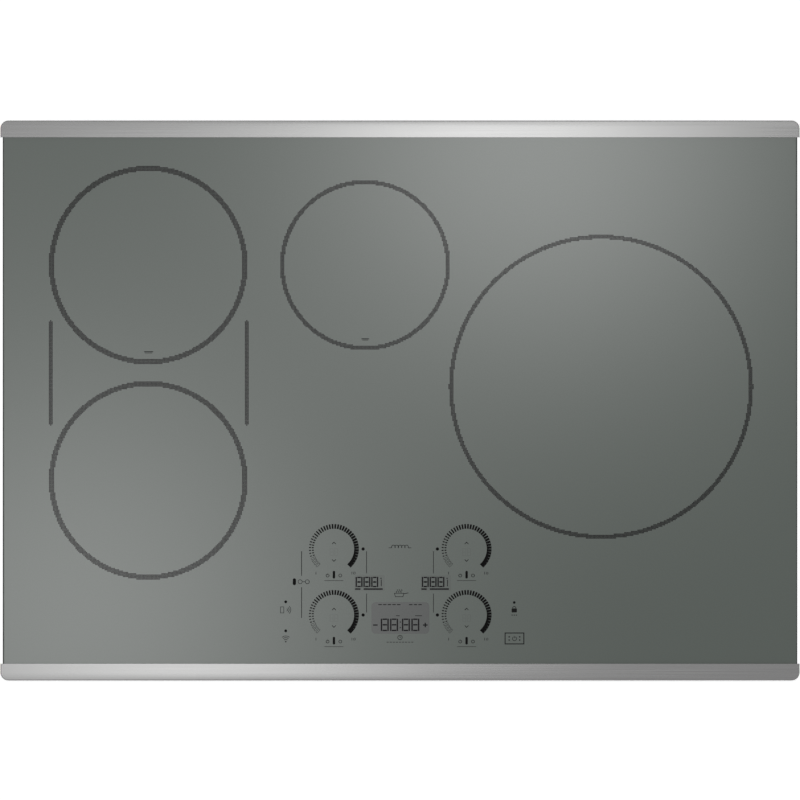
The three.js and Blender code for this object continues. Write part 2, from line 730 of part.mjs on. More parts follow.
// The impeller: a back plate at the top with a hub, a ring of blades, and a lower ring that ties them.
function blowerImpeller() {
  const bladeInner = IMPELLER_RADIUS - IMPELLER_RIM;
  const plate = 1.6;
  const blades = Array.from({ length: IMPELLER_BLADES }, (_, i) =>
    block(
      [bladeInner + 0.5, IMPELLER_RADIUS - 0.5],
      [-0.8, 0.8],
      [IMPELLER_UNDER + plate / 2, IMPELLER_TOP - plate / 2],
    ).rotateZ((i * 2 * Math.PI) / IMPELLER_BLADES),
  );
  const solid = joined(
    post(0, 0, [IMPELLER_TOP - plate, IMPELLER_TOP], IMPELLER_RADIUS, 28),
    ring(bladeInner, IMPELLER_RADIUS, [IMPELLER_UNDER, IMPELLER_UNDER + plate], 28),
    post(0, 0, [IMPELLER_UNDER + 4, IMPELLER_TOP - plate / 2], IMPELLER_HUB, 16),
    ...blades,
  );
  const bore = post(0, 0, [IMPELLER_UNDER - 1, IMPELLER_TOP + 1], SHAFT_RADIUS + SHAFT_SLACK, 10);
  return cut(solid, bore);
}

function addGenerator(name, side) {
  const module = new THREE.Group();
  module.position.set(side * GENERATOR_X, 0, 0);
  cooktop.add(module);
  place(`${name}_generator_board`, generatorBoard(), MATERIALS.board, module).position.y = GENERATOR_Y;
  place(`${name}_heat_sink`, heatSink(), MATERIALS.aluminium, module).position.y = GENERATOR_Y;
  place(`${name}_blower_housing`, blowerHousing(), MATERIALS.blackPlastic, module).position.y = BLOWER_Y;
  place(`${name}_blower_impeller`, blowerImpeller(), MATERIALS.blackPlastic, module).position.y = BLOWER_Y;
}

// ---------------------------------------------------------------- touch controls

const CARRIER_TOP = GLASS_UNDER - TOUCH - FRAME_SHEET - TOUCH;
const CARRIER_UNDER = CARRIER_TOP - CARRIER_DEPTH;
const CONTROL_UNDER = CARRIER_UNDER + CARRIER_WALL + 2;
const CONTROL_TOP = CONTROL_UNDER + BOARD;

// The open-topped tray that holds the touch board against the glass, on four legs.
function controlCarrier() {
  const half = CONTROL_WIDTH / 2;
  const tray = block([-half, half], [CONTROL_FRONT, CONTROL_REAR], [CARRIER_UNDER, CARRIER_TOP]);
  const inside = block(
    [-half + CARRIER_WALL, half - CARRIER_WALL],
    [CONTROL_FRONT + CARRIER_WALL, CONTROL_REAR - CARRIER_WALL],
    [CARRIER_UNDER + CARRIER_WALL, CARRIER_TOP + 1],
  );
  const legs = [-half + 12, half - 12].flatMap((x) =>
    [CONTROL_FRONT + 12, CONTROL_REAR - 12].map((y) =>
      post(x, y, [PLATE_TOP + TOUCH, CARRIER_UNDER + CARRIER_WALL / 2], STANDOFF, 8),
    ),
  );
  return joined(cut(tray, inside), ...legs);
}

// A C-shaped light guide under a power dial, open towards the front.
function lightGuide(x, y) {
  const opening = 0.24 * Math.PI; // half angle of the gap
  const shape = new THREE.Shape();
  shape.absarc(x, y, DIAL_OUTER, -Math.PI / 2 + opening, 1.5 * Math.PI - opening, false);
  shape.absarc(x, y, DIAL_INNER, 1.5 * Math.PI - opening, -Math.PI / 2 + opening, true);
  return prism(shape, [CONTROL_TOP - BOARD / 2, CARRIER_TOP], 6);
}

// A display module that stands on the touch board.
function display({ width, depth }, x, y) {
  const span = (middle, size) => [middle - size / 2, middle + size / 2];
  return block(span(x, width), span(y, depth), [CONTROL_TOP - BOARD / 2, CARRIER_TOP]);
}

// The touch board with its light guides and three display modules.
function controlBoard() {
  const half = CONTROL_WIDTH / 2 - CARRIER_WALL - TOUCH;
  const front = CONTROL_FRONT + CARRIER_WALL + TOUCH;
  const rear = CONTROL_REAR - CARRIER_WALL - TOUCH;
  const guides = [-DIAL_X, DIAL_X].flatMap((x) => DIAL_YS.map((y) => lightGuide(x, y)));
  return joined(
    block([-half, half], [front, rear], [CONTROL_UNDER, CONTROL_TOP]),
    ...guides,
    display(SMALL_DISPLAY, -SMALL_DISPLAY.x, SMALL_DISPLAY.y),
    display(SMALL_DISPLAY, SMALL_DISPLAY.x, SMALL_DISPLAY.y),
    display(TIMER_DISPLAY, 0, TIMER_DISPLAY.y),
  );
}

// ---------------------------------------------------------------- hold-down clamps

const CLAMP_PAD_TOP = BOX_DROP - WORKTOP;
const CLAMP_PAD_UNDER = CLAMP_PAD_TOP - CLAMP_PAD_HEIGHT;

// The bracket on the right side of the box: an upright leg and an outward leg with a hole for the screw.
function clampBracket() {
  const inner = TOUCH;
  const half = CLAMP_WIDTH / 2;
  const legTop = CLAMP_LEG_Z + CLAMP_SHEET;
  const angle = joined(
    block([inner, inner + CLAMP_SHEET], [-half, half], [CLAMP_LEG_Z, legTop + CLAMP_UPRIGHT]),
    block([inner, CLAMP_REACH], [-half, half], [CLAMP_LEG_Z, legTop]),
  );
  const hole = post(CLAMP_AXIS, 0, [CLAMP_LEG_Z - 1, legTop + 1], CLAMP_SCREW + CLAMP_SLACK, 12);
  return cut(angle, hole);
}

function clampScrew() {
  const top = CLAMP_PAD_UNDER - TOUCH;
  const bottom = top - CLAMP_SCREW_LENGTH;
  return joined(
    post(CLAMP_AXIS, 0, [bottom, top], CLAMP_SCREW, 12),
    post(CLAMP_AXIS, 0, [bottom - CLAMP_HEAD_HEIGHT, bottom], CLAMP_HEAD, 6),
  );
}

function clampPad() {
  return post(CLAMP_AXIS, 0, [CLAMP_PAD_UNDER, CLAMP_PAD_TOP], CLAMP_PAD, 16);
}

function addClamp(name, side) {
  const clamp = new THREE.Group();
  clamp.position.x = side * BOX_X;
  clamp.rotation.z = side > 0 ? 0 : Math.PI;
  cooktop.add(clamp);
  place(`${name}_clamp_bracket`, clampBracket(), MATERIALS.zinc, clamp);
  place(`${name}_clamp_screw`, clampScrew(), MATERIALS.zinc, clamp);
  place(`${name}_clamp_pad`, clampPad(), MATERIALS.rubber, clamp);
}

// ---------------------------------------------------------------- assembly

place("glass_top", glassTop(), MATERIALS.glass);
place("rear_trim", rearTrim(), MATERIALS.brushedSteel);
place("front_trim", rearTrim(), MATERIALS.brushedSteel).rotation.z = Math.PI;
place("rim_seal", rimSeal(), MATERIALS.foam);
place("glass_frame", glassFrame(), MATERIALS.darkSteel);

place("box_pan", boxPan(), MATERIALS.boxSteel);
place("left_end_panel", endPanel(-1), MATERIALS.boxSteel);
place("right_end_panel", endPanel(1), MATERIALS.boxSteel);
place("conduit_pocket", conduitPocket(), MATERIALS.boxSteel);
place("conduit_connector", conduitConnector(), MATERIALS.zinc);
place("conduit_locknut", conduitLocknut(), MATERIALS.zinc);
place("terminal_block", terminalBlock(), MATERIALS.blackPlastic);

const plateEnd = BOX_X - SHEET - BOX_FLANGE - TOUCH;
const plateSides = [
  ["left_coil_plate", [-plateEnd, PLATE_JOINT_X - TOUCH / 2], (zone) => zone.x < PLATE_JOINT_X],
  ["right_coil_plate", [PLATE_JOINT_X + TOUCH / 2, plateEnd], (zone) => zone.x > PLATE_JOINT_X],
];
for (const [name, xs, holds] of plateSides) {
  place(name, coilPlate(xs, ZONES.filter(holds)), MATERIALS.aluminium);
}
ZONES.forEach(addZone);

addGenerator("left", -1);
addGenerator("right", 1);
place("filter_board", filterBoard(), MATERIALS.board).position.set(FILTER_X, FILTER_Y, 0);

place("control_carrier", controlCarrier(), MATERIALS.blackPlastic);
place("control_board", controlBoard(), MATERIALS.board);

addClamp("left", -1);
addClamp("right", 1);

export default cooktop;
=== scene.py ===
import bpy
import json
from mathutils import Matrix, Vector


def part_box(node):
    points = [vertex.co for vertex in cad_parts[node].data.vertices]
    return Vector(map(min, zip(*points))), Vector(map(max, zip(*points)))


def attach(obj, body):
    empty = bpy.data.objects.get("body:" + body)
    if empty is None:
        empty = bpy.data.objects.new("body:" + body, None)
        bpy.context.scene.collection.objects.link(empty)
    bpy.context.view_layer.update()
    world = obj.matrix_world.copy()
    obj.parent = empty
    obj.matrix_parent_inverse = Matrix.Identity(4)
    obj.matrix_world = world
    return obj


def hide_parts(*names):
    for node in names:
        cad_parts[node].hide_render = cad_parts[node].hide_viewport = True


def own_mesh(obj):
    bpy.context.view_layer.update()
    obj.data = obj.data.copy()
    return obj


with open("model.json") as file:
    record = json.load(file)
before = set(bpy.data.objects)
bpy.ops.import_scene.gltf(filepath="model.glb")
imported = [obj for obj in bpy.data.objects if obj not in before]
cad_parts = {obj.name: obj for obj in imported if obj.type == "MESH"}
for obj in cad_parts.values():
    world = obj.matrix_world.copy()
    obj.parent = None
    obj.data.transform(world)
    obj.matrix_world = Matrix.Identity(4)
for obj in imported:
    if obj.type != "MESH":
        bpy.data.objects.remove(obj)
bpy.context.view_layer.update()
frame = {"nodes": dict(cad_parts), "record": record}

import json
import math

import bmesh
import bpy
from mathutils import Matrix, Vector

MM = 0.001
TURN = 2 * math.pi
NODES = frame["nodes"]


# ---------------------------------------------------------------- places taken from the CAD nodes

def span(node):
    """Lowest and highest corner of a CAD node, in millimetres."""
    low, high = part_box(node)
    return Vector(low) / MM, Vector(high) / MM


def middle(node):
    low, high = span(node)
    return (low + high) / 2


def extent(node):
    """Lowest corner, highest corner and middle of a CAD node, in millimetres."""
    return *span(node), middle(node)


GLASS_LOW, GLASS_HIGH = span("glass_top")
TRIM_LOW, TRIM_HIGH = span("rear_trim")
GLASS_TOP = GLASS_HIGH.z
HALF_WIDTH = TRIM_HIGH.x
HALF_DEPTH = TRIM_HIGH.y


# ---------------------------------------------------------------- materials

def node(tree, kind, inputs, **attributes):
    """A new shader node. An input is linked if it is given as another node's output, and otherwise set."""
    new = tree.nodes.new("ShaderNode" + kind)
    for name, value in attributes.items():
        setattr(new, name, value)
    for name, value in inputs.items():
        if isinstance(value, bpy.types.NodeSocket):
            tree.links.new(value, new.inputs[name])
        else:
            new.inputs[name].default_value = value
    return new


def material(name, colours, roughness, metallic=0.0, scale=200, detail=3.0, bump=0.0, cells=False, coat=0.0,
             ior=1.5, sheen=0.0, specular=0.5, spread=(0.35, 0.65), blur_along_x=0.0):
    """Principled material whose colour, roughness and relief follow one procedural pattern.

    colours and roughness are (low, high) pairs, scale is the pattern's frequency per metre, one for
    all directions or one each for X, Y and Z, and bump is the relief's height in millimetres."""
    mat = bpy.data.materials.new(name)
    mat.use_nodes = True
    tree = mat.node_tree
    shader = tree.nodes["Principled BSDF"]
    for socket, value in (("Metallic", metallic), ("IOR", ior), ("Specular IOR Level", specular),
                          ("Coat Weight", coat), ("Coat Roughness", 0.03), ("Sheen Weight", sheen)):
        shader.inputs[socket].default_value = value
    place = node(tree, "TexCoord", {})
    mapping = node(tree, "Mapping", {"Scale": scale if isinstance(scale, tuple) else (scale, scale, scale),
                                     "Vector": place.outputs["Object"]})
    where = {"Vector": mapping.outputs["Vector"], "Scale": 1.0}
    if cells:
        pattern = node(tree, "TexVoronoi", where, feature="F1")
        value = node(tree, "SeparateColor", {"Color": pattern.outputs["Color"]}).outputs[0]
    else:
        value = node(tree, "TexNoise", {**where, "Detail": detail}).outputs["Fac"]
    ramp = node(tree, "ValToRGB", {"Fac": value})
    for element, position, colour in zip(ramp.color_ramp.elements, spread, colours):
        element.position = position
        element.color = (*colour, 1)
    tree.links.new(ramp.outputs["Color"], shader.inputs["Base Color"])
    rough = node(tree, "MapRange", {"Value": value, "From Min": spread[0], "From Max": spread[1],
                                    "To Min": roughness[0], "To Max": roughness[1]})
    tree.links.new(rough.outputs["Result"], shader.inputs["Roughness"])
    if blur_along_x:
        shader.inputs["Anisotropic"].default_value = blur_along_x
        tangent = node(tree, "Tangent", {}, direction_type="RADIAL", axis="Y")
        tree.links.new(tangent.outputs["Tangent"], shader.inputs["Tangent"])
    if bump:
        relief = node(tree, "Bump", {"Strength": 1.0, "Distance": bump * MM, "Height": value})
        tree.links.new(relief.outputs["Normal"], shader.inputs["Normal"])
    return mat


def shades(r, g, b, spread=0.08):
    """A pair of colours round one linear colour."""
    return tuple(tuple(c * share for c in (r, g, b)) for share in (1 - spread, 1 + spread))


def ink(name, colours, specular):
    return material(name, colours, (0.3, 0.4), scale=1500, specular=specular)


GLASS = material("grey_green_glass", shades(0.288, 0.350, 0.305, 0.02), (0.13, 0.16), scale=900,
                 detail=2, ior=2.6)
GLASS_EDGE = material("ground_glass_edge", shades(0.05, 0.058, 0.054, 0.2), (0.3, 0.5), scale=(700, 700, 2500),
                      bump=0.01, ior=1.6)
WINDOW = material("timer_window", shades(0.225, 0.245, 0.235, 0.02), (0.13, 0.16), scale=900,
                  detail=2, ior=2.55)
FAINT = material("faint_window", shades(0.262, 0.312, 0.276, 0.02), (0.13, 0.16), scale=900,
                 detail=2, ior=2.55)
RING_INK = material("zone_ink", shades(0.004, 0.004, 0.004, 0.25), (0.15, 0.22), scale=1500, ior=1.8)
BLACK_INK = ink("black_ink", shades(0.002, 0.002, 0.002, 0.3), 0.2)
SYMBOL_INK = ink("symbol_ink", shades(0.012, 0.013, 0.0125, 0.2), 0.3)
LINE_INK = ink("line_ink", shades(0.03, 0.032, 0.031, 0.2), 0.3)
RULE_INK = ink("rule_ink", shades(0.055, 0.06, 0.057, 0.2), 0.4)
SEGMENT_INK = ink("segment_ink", shades(0.012, 0.009, 0.014, 0.2), 0.3)
STEEL = material("brushed_stainless", shades(0.94, 0.94, 0.935, 0.05), (0.19, 0.26), metallic=1.0,
                 scale=(6, 2600, 2600), detail=5, bump=0.004, blur_along_x=0.8)
# Darker copy of the brushed stainless for the trims' upright faces: painted shade, as if these faces caught less light.
# Its roughness and grain are its own.
STEEL_PAINTED_SHADE = material("brushed_stainless_painted_shade", shades(0.50, 0.50, 0.495, 0.08), (0.24, 0.36), metallic=1.0,
                      scale=(6, 2600, 2600), detail=5, bump=0.006)


# ---------------------------------------------------------------- mesh helpers

def make(name, verts, faces, mats, body="chassis", slot=None, indices=None, sharp=None, replaces=None):
    """One object from vertices in millimetres, riding on a body."""
    mesh = bpy.data.meshes.new(name)
    mesh.from_pydata([tuple(c * MM for c in v) for v in verts], [], faces)
    mesh.update()
    for mat in mats:
        mesh.materials.append(mat)
    if indices:
        mesh.polygons.foreach_set("material_index", indices)
    obj = bpy.data.objects.new(name, mesh)
    bpy.context.scene.collection.objects.link(obj)
    if sharp is not None:
        smooth(obj, sharp)
    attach(obj, body)
    if mats:
        slot or SLOTS[mats[0].name]
    if replaces:
        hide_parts(replaces)
    return obj


def bake(obj):
    """Applies an object's modifiers to its mesh."""
    graph = bpy.context.evaluated_depsgraph_get()
    mesh = bpy.data.meshes.new_from_object(obj.evaluated_get(graph))
    obj.modifiers.clear()
    old = obj.data
    obj.data = mesh
    mesh.name = old.name
    bpy.data.meshes.remove(old)
    return obj


def cut(obj, cutters):
    """Takes closed solids, given as (verts, faces), away from an object."""
    tools = [make("cutter", *solid, []) for solid in cutters]
    for tool in tools:
        modifier = obj.modifiers.new("cut", "BOOLEAN")
        modifier.operation = "DIFFERENCE"
        modifier.solver = "EXACT"
        modifier.object = tool
    bpy.context.view_layer.update()
    bake(obj)
    for tool in tools:
        bpy.data.objects.remove(tool)


def smooth(obj, degrees):
    """Shades an object smooth, apart from its edges sharper than an angle."""
    obj.data.polygons.foreach_set("use_smooth", [True] * len(obj.data.polygons))
    obj.data.set_sharp_from_angle(angle=math.radians(degrees))


def soften(obj, width):
    """Rounds an object's sharp edges."""
    bevel = obj.modifiers.new("edges", "BEVEL")
    bevel.width = width * MM
    bevel.segments = 2
    bevel.limit_method = "ANGLE"
    bevel.angle_limit = math.radians(50)


def polar(radius, angle, x=0.0, y=0.0):
    return x + radius * math.cos(angle), y + radius * math.sin(angle)


def ring(radius, sides, x=0.0, y=0.0):
    """Points round a circle, anticlockwise from the right."""
    return [polar(radius, TURN * i / sides, x, y) for i in range(sides)]


def rounded(half_x, half_y, radius, steps):
    """Points of a rectangle with round corners, anticlockwise from the right."""
    points = []
    for quarter, (sx, sy) in enumerate(((1, 1), (-1, 1), (-1, -1), (1, -1))):
        for i in range(steps + 1):
            angle = (quarter + i / steps) * TURN / 4
            points.append(polar(radius, angle, sx * (half_x - radius), sy * (half_y - radius)))
    return points


def loft(rows):
    """A solid whose faces run between successive loops of vertices, with a cap on each end."""
    count = len(rows[0])
    faces = [tuple(reversed(range(count)))]
    for r in range(len(rows) - 1):
        for i in range(count):
            j = (i + 1) % count
            faces.append((r * count + i, r * count + j, (r + 1) * count + j, (r + 1) * count + i))
    faces.append(tuple(range((len(rows) - 1) * count, len(rows) * count)))
    return [v for row in rows for v in row], faces


def hoop(loops):
    """A ring-shaped solid whose faces run between successive loops of vertices, round to the first again."""
    count = len(loops[0])
    faces = []
    for i in range(len(loops)):
        j = (i + 1) % len(loops)
        for k in range(count):
            n = (k + 1) % count
            faces.append((i * count + k, j * count + k, j * count + n, i * count + n))
    return [v for loop in loops for v in loop], faces


def prism(outline, low, high):
    """A solid with one outline from one level to another."""
    return loft([[(x, y, z) for x, y in outline] for z in (low, high)])


def turned(profile, sides=32):
    """A closed solid turned round Z from (radius, height) points that run upwards from the axis."""
    return loft([[(*point, height) for point in ring(max(radius, 0.001), sides)] for radius, height in profile])


def tube(profile, sides=48):
    """A ring-shaped solid turned round Z from a closed loop of (radius, height) points."""
    return hoop([[(*polar(radius, TURN * i / sides), height) for radius, height in profile] for i in range(sides)])


def swept(path, section):
    """A solid swept along a path. section(i) gives the (aside, up) points at step i, and aside is level."""
    rows = []
    for i, point in enumerate(path):
        along = (Vector(path[min(i + 1, len(path) - 1)]) - Vector(path[max(i - 1, 0)])).normalized()
        aside = along.cross((0, 0, 1))
        aside = aside.normalized() if aside.length > 1e-3 else Vector((1, 0, 0))
        up = aside.cross(along)
        rows.append([tuple(Vector(point) + aside * a + up * b) for a, b in section(i)])
    return loft(rows)


def circle(radius, sides=8):
    """A round section for a sweep."""
    points = ring(radius, sides)
    return lambda step: points


def moved(x, y, z=0.0):
    return Matrix.Translation((x, y, z))


def spun(angle):
    return Matrix.Rotation(angle, 4, "Z")


def outward(x, y, z, direction):
    """Places a solid built along +Z so that it stands on x, y, z and points along a direction."""
    return moved(x, y, z) @ Vector((0, 0, 1)).rotation_difference(Vector(direction)).to_matrix().to_4x4()


class Batch:
    """Small solids collected into one mesh."""

    def __init__(self):
        self.verts = []
        self.faces = []

    def add(self, solid, place=Matrix.Identity(4)):
        verts, faces = solid
        start = len(self.verts)
        self.verts += [tuple(place @ Vector(v)) for v in verts]
        self.faces += [tuple(start + i for i in face) for face in faces]

    def finish(self, name, mat, body="chassis", slot=None, sharp=35, replaces=None):
        make(name, self.verts, self.faces, [mat], body, slot, sharp=sharp, replaces=replaces)


# ---------------------------------------------------------------- glass top

def build_glass():
    low, high = GLASS_LOW, GLASS_HIGH
    profile = [(1.1, low.z), (0.35, low.z + 0.35), (0, low.z + 1.0), (0, high.z - 1.3), (0.18, high.z - 0.75),
               (0.55, high.z - 0.3), (1.0, high.z - 0.08), (1.5, high.z)]
    rows = []
    for inset, z in profile:
        outline = rounded(high.x - inset, high.y - inset, 8 - inset * 0.8, 14)
        rows.append([(x, y, z) for x, y in outline])
    verts, faces = loft(rows)
    count = len(rows[0])
    indices = [0] + [1 if r < 6 else 0 for r in range(len(rows) - 1) for _ in range(count)] + [0]
    sheet = make("glass_sheet", verts, faces, [GLASS, GLASS_EDGE], indices=indices, sharp=50, replaces="glass_top")
    sheet.data.polygons[0].use_smooth = False
    sheet.data.polygons[-1].use_smooth = False


# ---------------------------------------------------------------- trims

TRIM_COVER = TRIM_HIGH.y - TRIM_LOW.y
TRIM_CORNER = 8.0
TRIM_ROLL = 1.3
TRIM_SHEET = 1.2


def trim_outline(inset, steps=16):
    """The rear trim from above: straight along its inner edge, round at its two outer corners."""
    inner = HALF_DEPTH - TRIM_COVER
    right = HALF_WIDTH - inset
    points = [(right, inner)]
    for quarter, side in enumerate((1, -1)):
        for i in range(steps + 1):
            points.append(polar(TRIM_CORNER - inset, (quarter + i / steps) * TURN / 4,
                                side * (HALF_WIDTH - TRIM_CORNER), HALF_DEPTH - TRIM_CORNER))
    return points + [(-right, inner)]


def build_trim(name, node, at_front):
    """A channel folded from thin sheet, with rolled edges, that wraps one edge of the glass."""
    low, high = TRIM_LOW, TRIM_HIGH
    steps = 6
    quarter = [i / steps * TURN / 4 for i in range(steps + 1)]
    lower, fit = TRIM_ROLL * 0.6, 0.3
    rows = [(lower * (1 - math.sin(a)), low.z + lower * (1 - math.cos(a))) for a in quarter]
    rows += [(TRIM_ROLL * (1 - math.cos(a)), high.z - TRIM_ROLL * (1 - math.sin(a))) for a in quarter]
    solid = loft([[(x, y, z) for x, y in trim_outline(inset)] for inset, z in rows])
    trim = make(name, *solid, [STEEL], replaces=node)
    room = rounded(GLASS_HIGH.x + fit, GLASS_HIGH.y + fit, 8 + fit, 14)
    under = HALF_DEPTH - 9.0
    lip = ((GLASS_HIGH.x, under), (-GLASS_HIGH.x, under), (-GLASS_HIGH.x, 200), (GLASS_HIGH.x, 200))
    cut(trim, [prism(room, low.z + TRIM_SHEET, high.z - TRIM_SHEET), prism(lip, low.z - 2, low.z + TRIM_SHEET + 0.5)])
    if at_front:
        trim.data.transform(spun(math.pi))
    # Faces that don't face up take the darker copy: painted shade on the trims' sides.
    trim.data.materials.append(STEEL_PAINTED_SHADE)
    for face in trim.data.polygons:
        face.material_index = 1 if face.normal.z < 0.25 else 0
    smooth(trim, 28)


# ---------------------------------------------------------------- prints on the glass

PRINT_SINK = 0.02
PRINT_RISE = 0.03
WINDOW_RISE = 0.012


class Print(Batch):
    """Flat printed shapes, raised as one thin solid film on the glass."""

    def __init__(self, rise=PRINT_RISE):
        super().__init__()
        self.rise = rise

    def shape(self, points):
        """A convex or simple outline, anticlockwise, in millimetres."""
        self.add(prism(points, GLASS_TOP - PRINT_SINK, GLASS_TOP + self.rise))

    def bar(self, x, y, width, height, turn=0.0):
        cos, sin = math.cos(turn), math.sin(turn)
        corners = [(a * width / 2, b * height / 2) for a, b in ((-1, -1), (1, -1), (1, 1), (-1, 1))]
        self.shape([(x + a * cos - b * sin, y + a * sin + b * cos) for a, b in corners])

    def pill(self, x, y, width, height):
        radius = min(width, height) / 2
        self.shape([(x + a, y + b) for a, b in rounded(width / 2, height / 2, radius * 0.999, 6)])

    def dot(self, x, y, radius):
        self.shape(ring(radius, 16, x, y))

    def stroke(self, points, width):
        for (ax, ay), (bx, by) in zip(points, points[1:]):
            length = math.hypot(bx - ax, by - ay)
            self.bar((ax + bx) / 2, (ay + by) / 2, length + width * 0.7, width, math.atan2(by - ay, bx - ax))

    def arc(self, x, y, radius, first, last, width):
        """A stroke round a centre, between two angles in degrees."""
        steps = max(int((last - first) / 15), 4)
        angles = [math.radians(first + (last - first) * i / steps) for i in range(steps + 1)]
        self.stroke([polar(radius, angle, x, y) for angle in angles], width)

    def number(self, text, x, y, width, height):
        """A number, centred on x and standing on y, fitted to a width and height."""
        curve = bpy.data.curves.new("line", "FONT")
        curve.body = text
        curve.align_x = "CENTER"
        curve.resolution_u = 2
        curve.size = 10.0
        obj = bpy.data.objects.new("line", curve)
        bpy.context.scene.collection.objects.link(obj)
        graph = bpy.context.evaluated_depsgraph_get()
        mesh = bpy.data.meshes.new_from_object(obj.evaluated_get(graph))
        flat = bmesh.new()
        flat.from_mesh(mesh)
        bmesh.ops.remove_doubles(flat, verts=flat.verts, dist=1e-4)
        xs = [v.co.x for v in flat.verts]
        across = width / (max(xs) - min(xs))
        up = height / 7.0
        centre = (max(xs) + min(xs)) / 2
        extruded = bmesh.ops.extrude_face_region(flat, geom=flat.faces[:])
        for item in extruded["geom"]:
            if isinstance(item, bmesh.types.BMVert):
                item.co.z += 1.0
        bmesh.ops.recalc_face_normals(flat, faces=flat.faces)
        flat.verts.index_update()
        start = len(self.verts)
        for v in flat.verts:
            z = GLASS_TOP + (self.rise if v.co.z > 0.5 else -PRINT_SINK)
            self.verts.append((x + (v.co.x - centre) * across, y + v.co.y * up, z))
        self.faces += [tuple(start + v.index for v in face.verts) for face in flat.faces]
        flat.free()
        bpy.data.objects.remove(obj)
        bpy.data.meshes.remove(mesh)
        bpy.data.curves.remove(curve)

    def finish(self, name, mat):
        return make(name, self.verts, self.faces, [mat], slot="glass")


ZONES = {
    "left_rear": (94.3, 88.7),
    "left_front": (94.3, 88.7),
    "centre_rear": (80.8, 76.1),
    "right": (144.1, 139.4),
}
SCREEN_PITCH = 1.25  # dots of the zone rings stand on one square grid
SCREEN_DOT = 1.12


BRIDGE_BARS = ((-330.1, -23.9, 76.1), (-144.8, -23.9, 76.1))


def build_rings():
    """The zone rings and bridge bars: a fine dot screen inside each band."""
    screen = Print()
    margin = SCREEN_DOT * 0.3
    for zone, (outer, inner) in ZONES.items():
        centre = middle(f"{zone}_coil_winding")
        reach = int(outer / SCREEN_PITCH) + 2
        for i in range(-reach, reach + 1):
            for j in range(-reach, reach + 1):
                x = (round(centre.x / SCREEN_PITCH) + i) * SCREEN_PITCH
                y = (round(centre.y / SCREEN_PITCH) + j) * SCREEN_PITCH
                if inner + margin < math.hypot(x - centre.x, y - centre.y) < outer - margin:
                    screen.bar(x, y, SCREEN_DOT, SCREEN_DOT)
    for x, low, high in BRIDGE_BARS:
        rows = round((high - low) / SCREEN_PITCH)
        for j in range(rows):
            for i in (0,) if j in (0, rows - 1) else (-1, 0, 1):
                screen.bar(x + i * SCREEN_PITCH, low + (j + 0.5) * SCREEN_PITCH, SCREEN_DOT, SCREEN_DOT)
    screen.finish("zone_rings_print", RING_INK)


DIAL_X = 62.7
DIAL_SHIFT = 0.25
DIAL_YS = (-140.3, -202.7)
DISPLAY_X, DISPLAY_Y = 31.3, -171.5
TIMER_Y = -212.0
KEY_X = 108.0
TICKS = 40
TICK_INNER, TICK_OUTER = 19.1, 23.6


def tick(printer, cx, cy, angle, t):
    """One tick of a power dial. t runs from 0 at the low end, where ticks are hollow, to 1 at the high end."""
    out = Vector((math.cos(angle), math.sin(angle)))
    across = Vector((-out.y, out.x))

    def at(radius, aside):
        point = Vector((cx, cy)) + out * radius + across * aside
        return point.x, point.y

    width = 0.85 + 1.85 * t ** 1.2
    if t < 0.085:
        corners = [at(TICK_INNER + 0.15, -0.75), at(TICK_INNER + 0.15, 0.75), at(TICK_OUTER - 0.15, 0.75),
                   at(TICK_OUTER - 0.15, -0.75), at(TICK_INNER + 0.15, -0.75)]
        printer.stroke(corners, 0.3)
    elif t < 0.3:
        length = (TICK_OUTER - TICK_INNER) * (0.34 + 0.4 * t)
        for radius in (TICK_INNER + length / 2, TICK_OUTER - length / 2):
            printer.bar(*at(radius, 0), width, length, angle - math.pi / 2)
    else:
        printer.bar(*at((TICK_INNER + TICK_OUTER) / 2, 0), width, TICK_OUTER - TICK_INNER, angle - math.pi / 2)


# Plain symbols, in place of the words in the photo.

def power_symbol(printer, x, y, radius):
    printer.arc(x, y, radius, 120, 420, 0.5)
    printer.bar(x, y + radius * 0.8, 0.5, radius * 1.1)


def coil_symbol(printer, x, y):
    """Five loops with a lead at each end."""
    for n in range(5):
        printer.arc(x + (n - 2) * 3.1, y, 1.75, -28, 208, 0.5)
    for side in (-1, 1):
        printer.bar(x + side * 9.2, y - 0.8, 3.0, 0.5)


def clock_symbol(printer, x, y):
    printer.arc(x, y, 2.1, 0, 360, 0.5)
    printer.stroke(((x, y + 1.3), (x, y), (x + 0.9, y - 0.5)), 0.45)


def pan_symbol(printer, x, y):
    """A pan with its handle to the right and steam over it."""
    printer.stroke(((x - 5.4, y), (x - 4.6, y - 3.2), (x + 2.6, y - 3.2), (x + 3.4, y), (x - 5.4, y)), 0.5)
    printer.stroke(((x + 3.4, y - 0.4), (x + 7.6, y + 0.3)), 0.6)
    for dx in (-3.0, -1.0, 1.0):
        printer.arc(x + dx, y + 1.4, 0.7, 90, 270, 0.4)
        printer.arc(x + dx, y + 2.8, 0.7, -90, 90, 0.4)


def phone_symbol(printer, x, y):
    """A handset outline with waves beside it."""
    frame_outline(printer, x - 3.4, y, 3.6, 6.2, 0.5)
    for radius in (1.6, 3.2, 4.8):
        printer.arc(x, y, radius, -45, 45, 0.5)


def waves_symbol(printer, x, y):
    """A dot with waves over it."""
    printer.dot(x, y - 2.6, 0.7)
    for radius in (2.2, 3.8, 5.4):
        printer.arc(x, y - 2.6, radius, 50, 130, 0.5)


def padlock_symbol(printer, x, y):
    """A closed padlock over three dots."""
    printer.shape([(x + a, y - 1.0 + b) for a, b in rounded(2.5, 1.9, 0.6, 3)])
    printer.arc(x, y + 1.2, 1.5, 0, 180, 0.55)
    for dx in (-2.0, 0.0, 2.0):
        printer.dot(x + dx, y - 5.4, 0.55)


